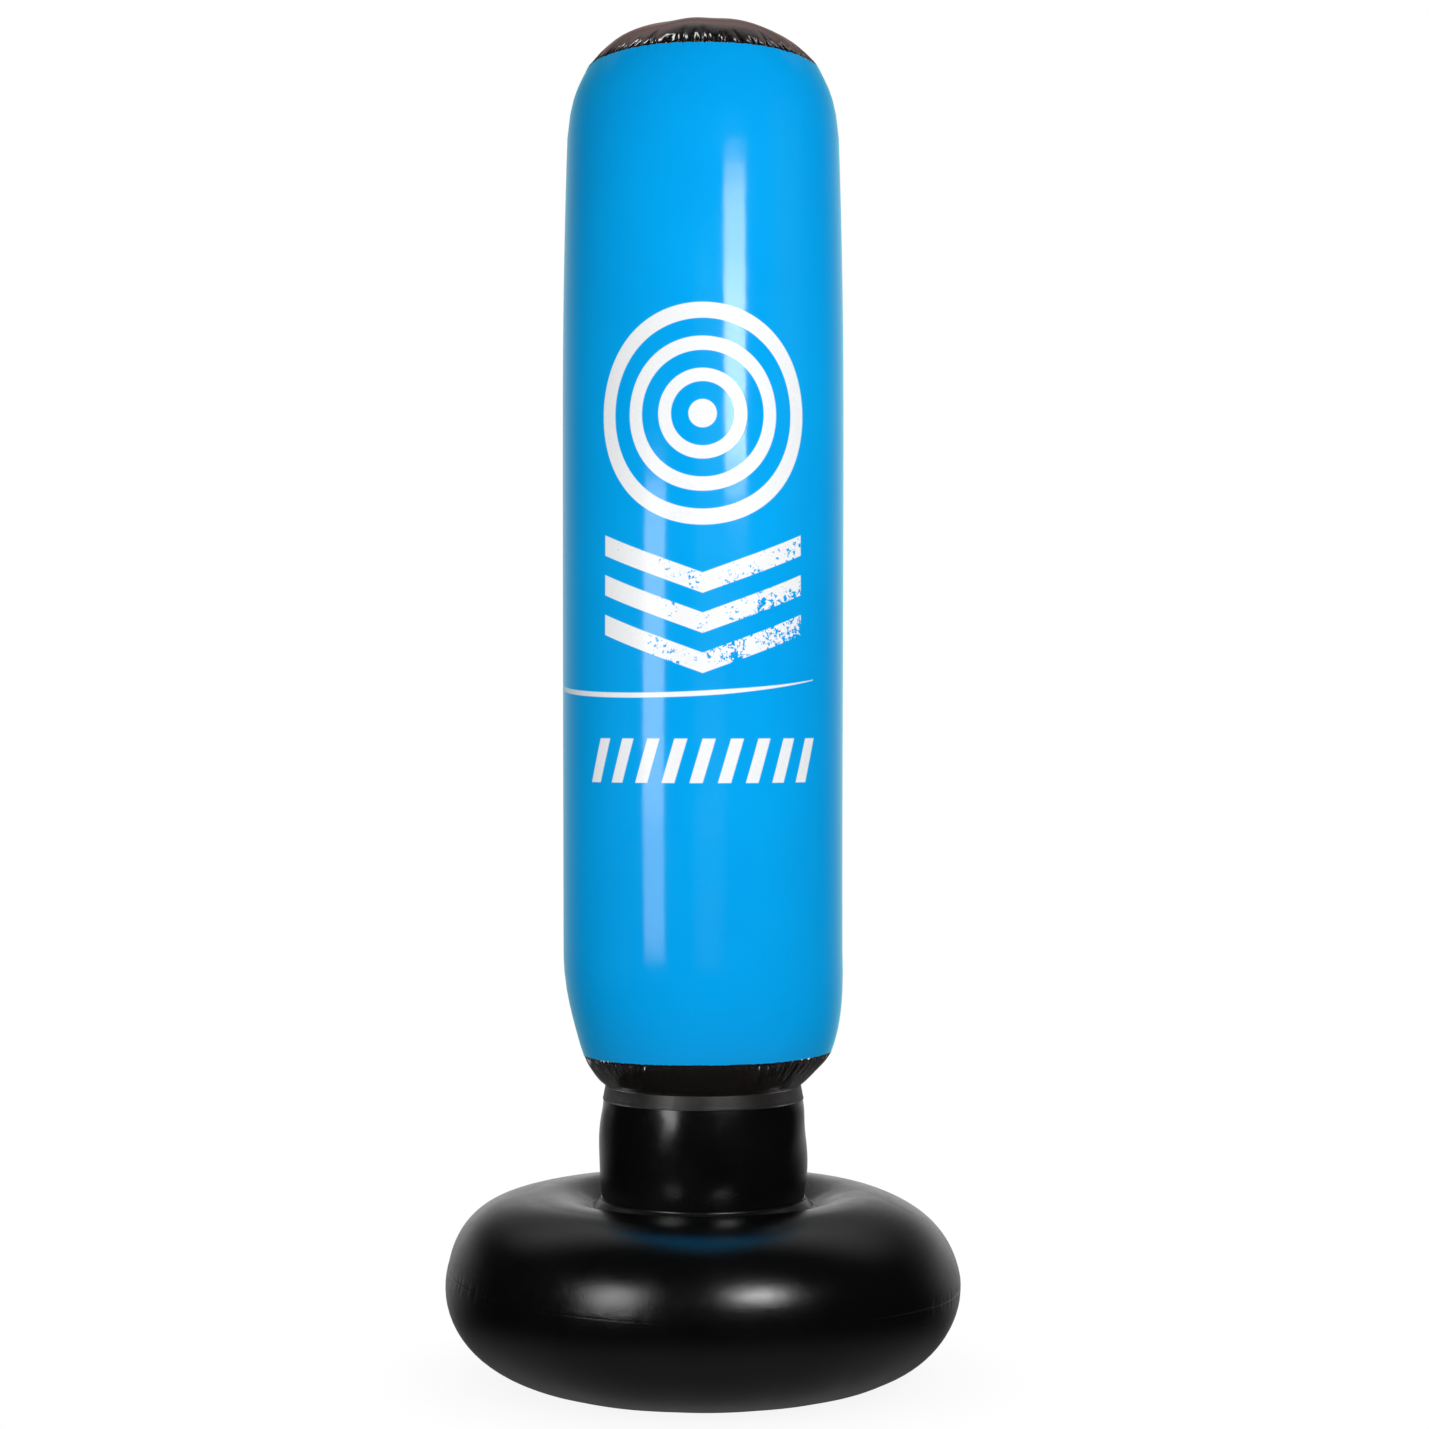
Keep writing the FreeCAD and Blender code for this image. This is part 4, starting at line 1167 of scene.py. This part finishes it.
# -------- assembly
def film_pieces():
    """Every film with its material, in place of its CAD node."""
    shiny = {"dark": rgb(0.0050, 0.0042, 0.0040), "light": rgb(0.0078, 0.0066, 0.0060), "gloss": (0.10, 0.17),
             "grain": 800.0, "depth": 0.000012, "dents": 0.00010}
    cap_film = film_material("black_gloss_film", **shiny)
    disc_film = film_material("lower_disc_film", **shiny, matt=(0.3465, 0.3435, 0.0, 0.28))
    neck_film = film_material("neck_film", rgb(0.0022, 0.0022, 0.0021), rgb(0.0034, 0.0034, 0.0033),
                              gloss=(0.16, 0.24), grain=800.0, depth=0.000015, dents=0.00012,
                              matt=(0.255, 0.205, 0.0, 0.14), Specular_IOR_Level=0.80)
    hem_film = film_material("hem_film", rgb(0.0045, 0.0045, 0.0045), rgb(0.0070, 0.0070, 0.0070),
                             gloss=(0.24, 0.34), grain=900.0, depth=0.00003, Specular_IOR_Level=0.80)
    satin = film_material("black_satin_film", rgb(0.0018, 0.0018, 0.0018), rgb(0.0028, 0.0028, 0.0027),
                          gloss=(0.19, 0.25), grain=620.0, depth=0.00021, Specular_IOR_Level=0.92)
    made = [
        (column_skin(), "column", "column_sleeve", "blue_film", column_material()),
        (cap_skin(), "column", "top_cap", "black_gloss_film", cap_film),
        (lower_disc_skin(), "column", "bottom_disc", "black_gloss_film", disc_film),
        (hem_skin(), "base", "neck_hem", "neck_film", hem_film),
        (base_top_skin(), "base", "base_top_panel", "black_satin_film", satin),
        (base_bottom_skin(), "base", "base_bottom_panel", "black_satin_film", satin),
        (core_skin(), "base", "base_core_tube", "black_satin_film", satin),
    ]
    for piece, body, node, slot, material in made:
        paint(piece, material)
        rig.replaces(piece, node)
        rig.slot(piece, slot)
        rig.ride(piece, body)
    low = neck_piece("neck_low", NECK_LOW_Z, NECK_SPLIT_Z)
    high = neck_piece("neck_high", NECK_SPLIT_Z, NECK_HIGH_Z)
    for piece in (low, high):
        paint(piece, neck_film)
        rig.replaces(piece, "neck_sleeve")
        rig.slot(piece, "neck_film")
    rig.blend(low, "base", "neck", (0, 0, 0.209), (0, 0, 0.267))
    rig.blend(high, "neck", "column", (0, 0, 0.269), (0, 0, 0.327))


def fittings():
    """Materials of the CAD nodes that are shown as they are, and the straps."""
    black = moulded_material("fitting_pvc", rgb(0.010, 0.010, 0.011), rgb(0.016, 0.016, 0.017), (0.32, 0.45))
    cap = moulded_material("cap_plastic", rgb(0.012, 0.012, 0.013), rgb(0.020, 0.020, 0.021), (0.45, 0.6))
    rubber = moulded_material("seal_rubber", rgb(0.050, 0.050, 0.050), rgb(0.080, 0.080, 0.078), (0.6, 0.75))
    valve = moulded_material("valve_pvc", rgb(0.40, 0.44, 0.48), rgb(0.48, 0.52, 0.56), (0.25, 0.38))
    nodes = frame["nodes"]
    for name in ("filler_flange", "filler_spout", "filler_leash_ring"):
        paint(nodes[name], black)
    paint(nodes["filler_cap"], cap)
    paint(nodes["filler_gasket"], rubber)
    paint(nodes["water_ballast"], water_material())
    for owner in ("column", "base"):
        for part in ("flange", "stem", "plug", "flap"):
            paint(nodes[f"{owner}_valve_{part}"], valve)
    paint(filler_strap(), black)
    paint(valve_strap("column", on_back), valve)
    paint(valve_strap("base", on_crown(BASE_VALVE_TURN)), valve)


film_pieces()
fittings()
studio()

visual_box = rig.bounds()
with open("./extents.json", "w") as sizes:
    json.dump({"cad": [list(corner) for corner in cad_box], "visual": [list(corner) for corner in visual_box]}, sizes)
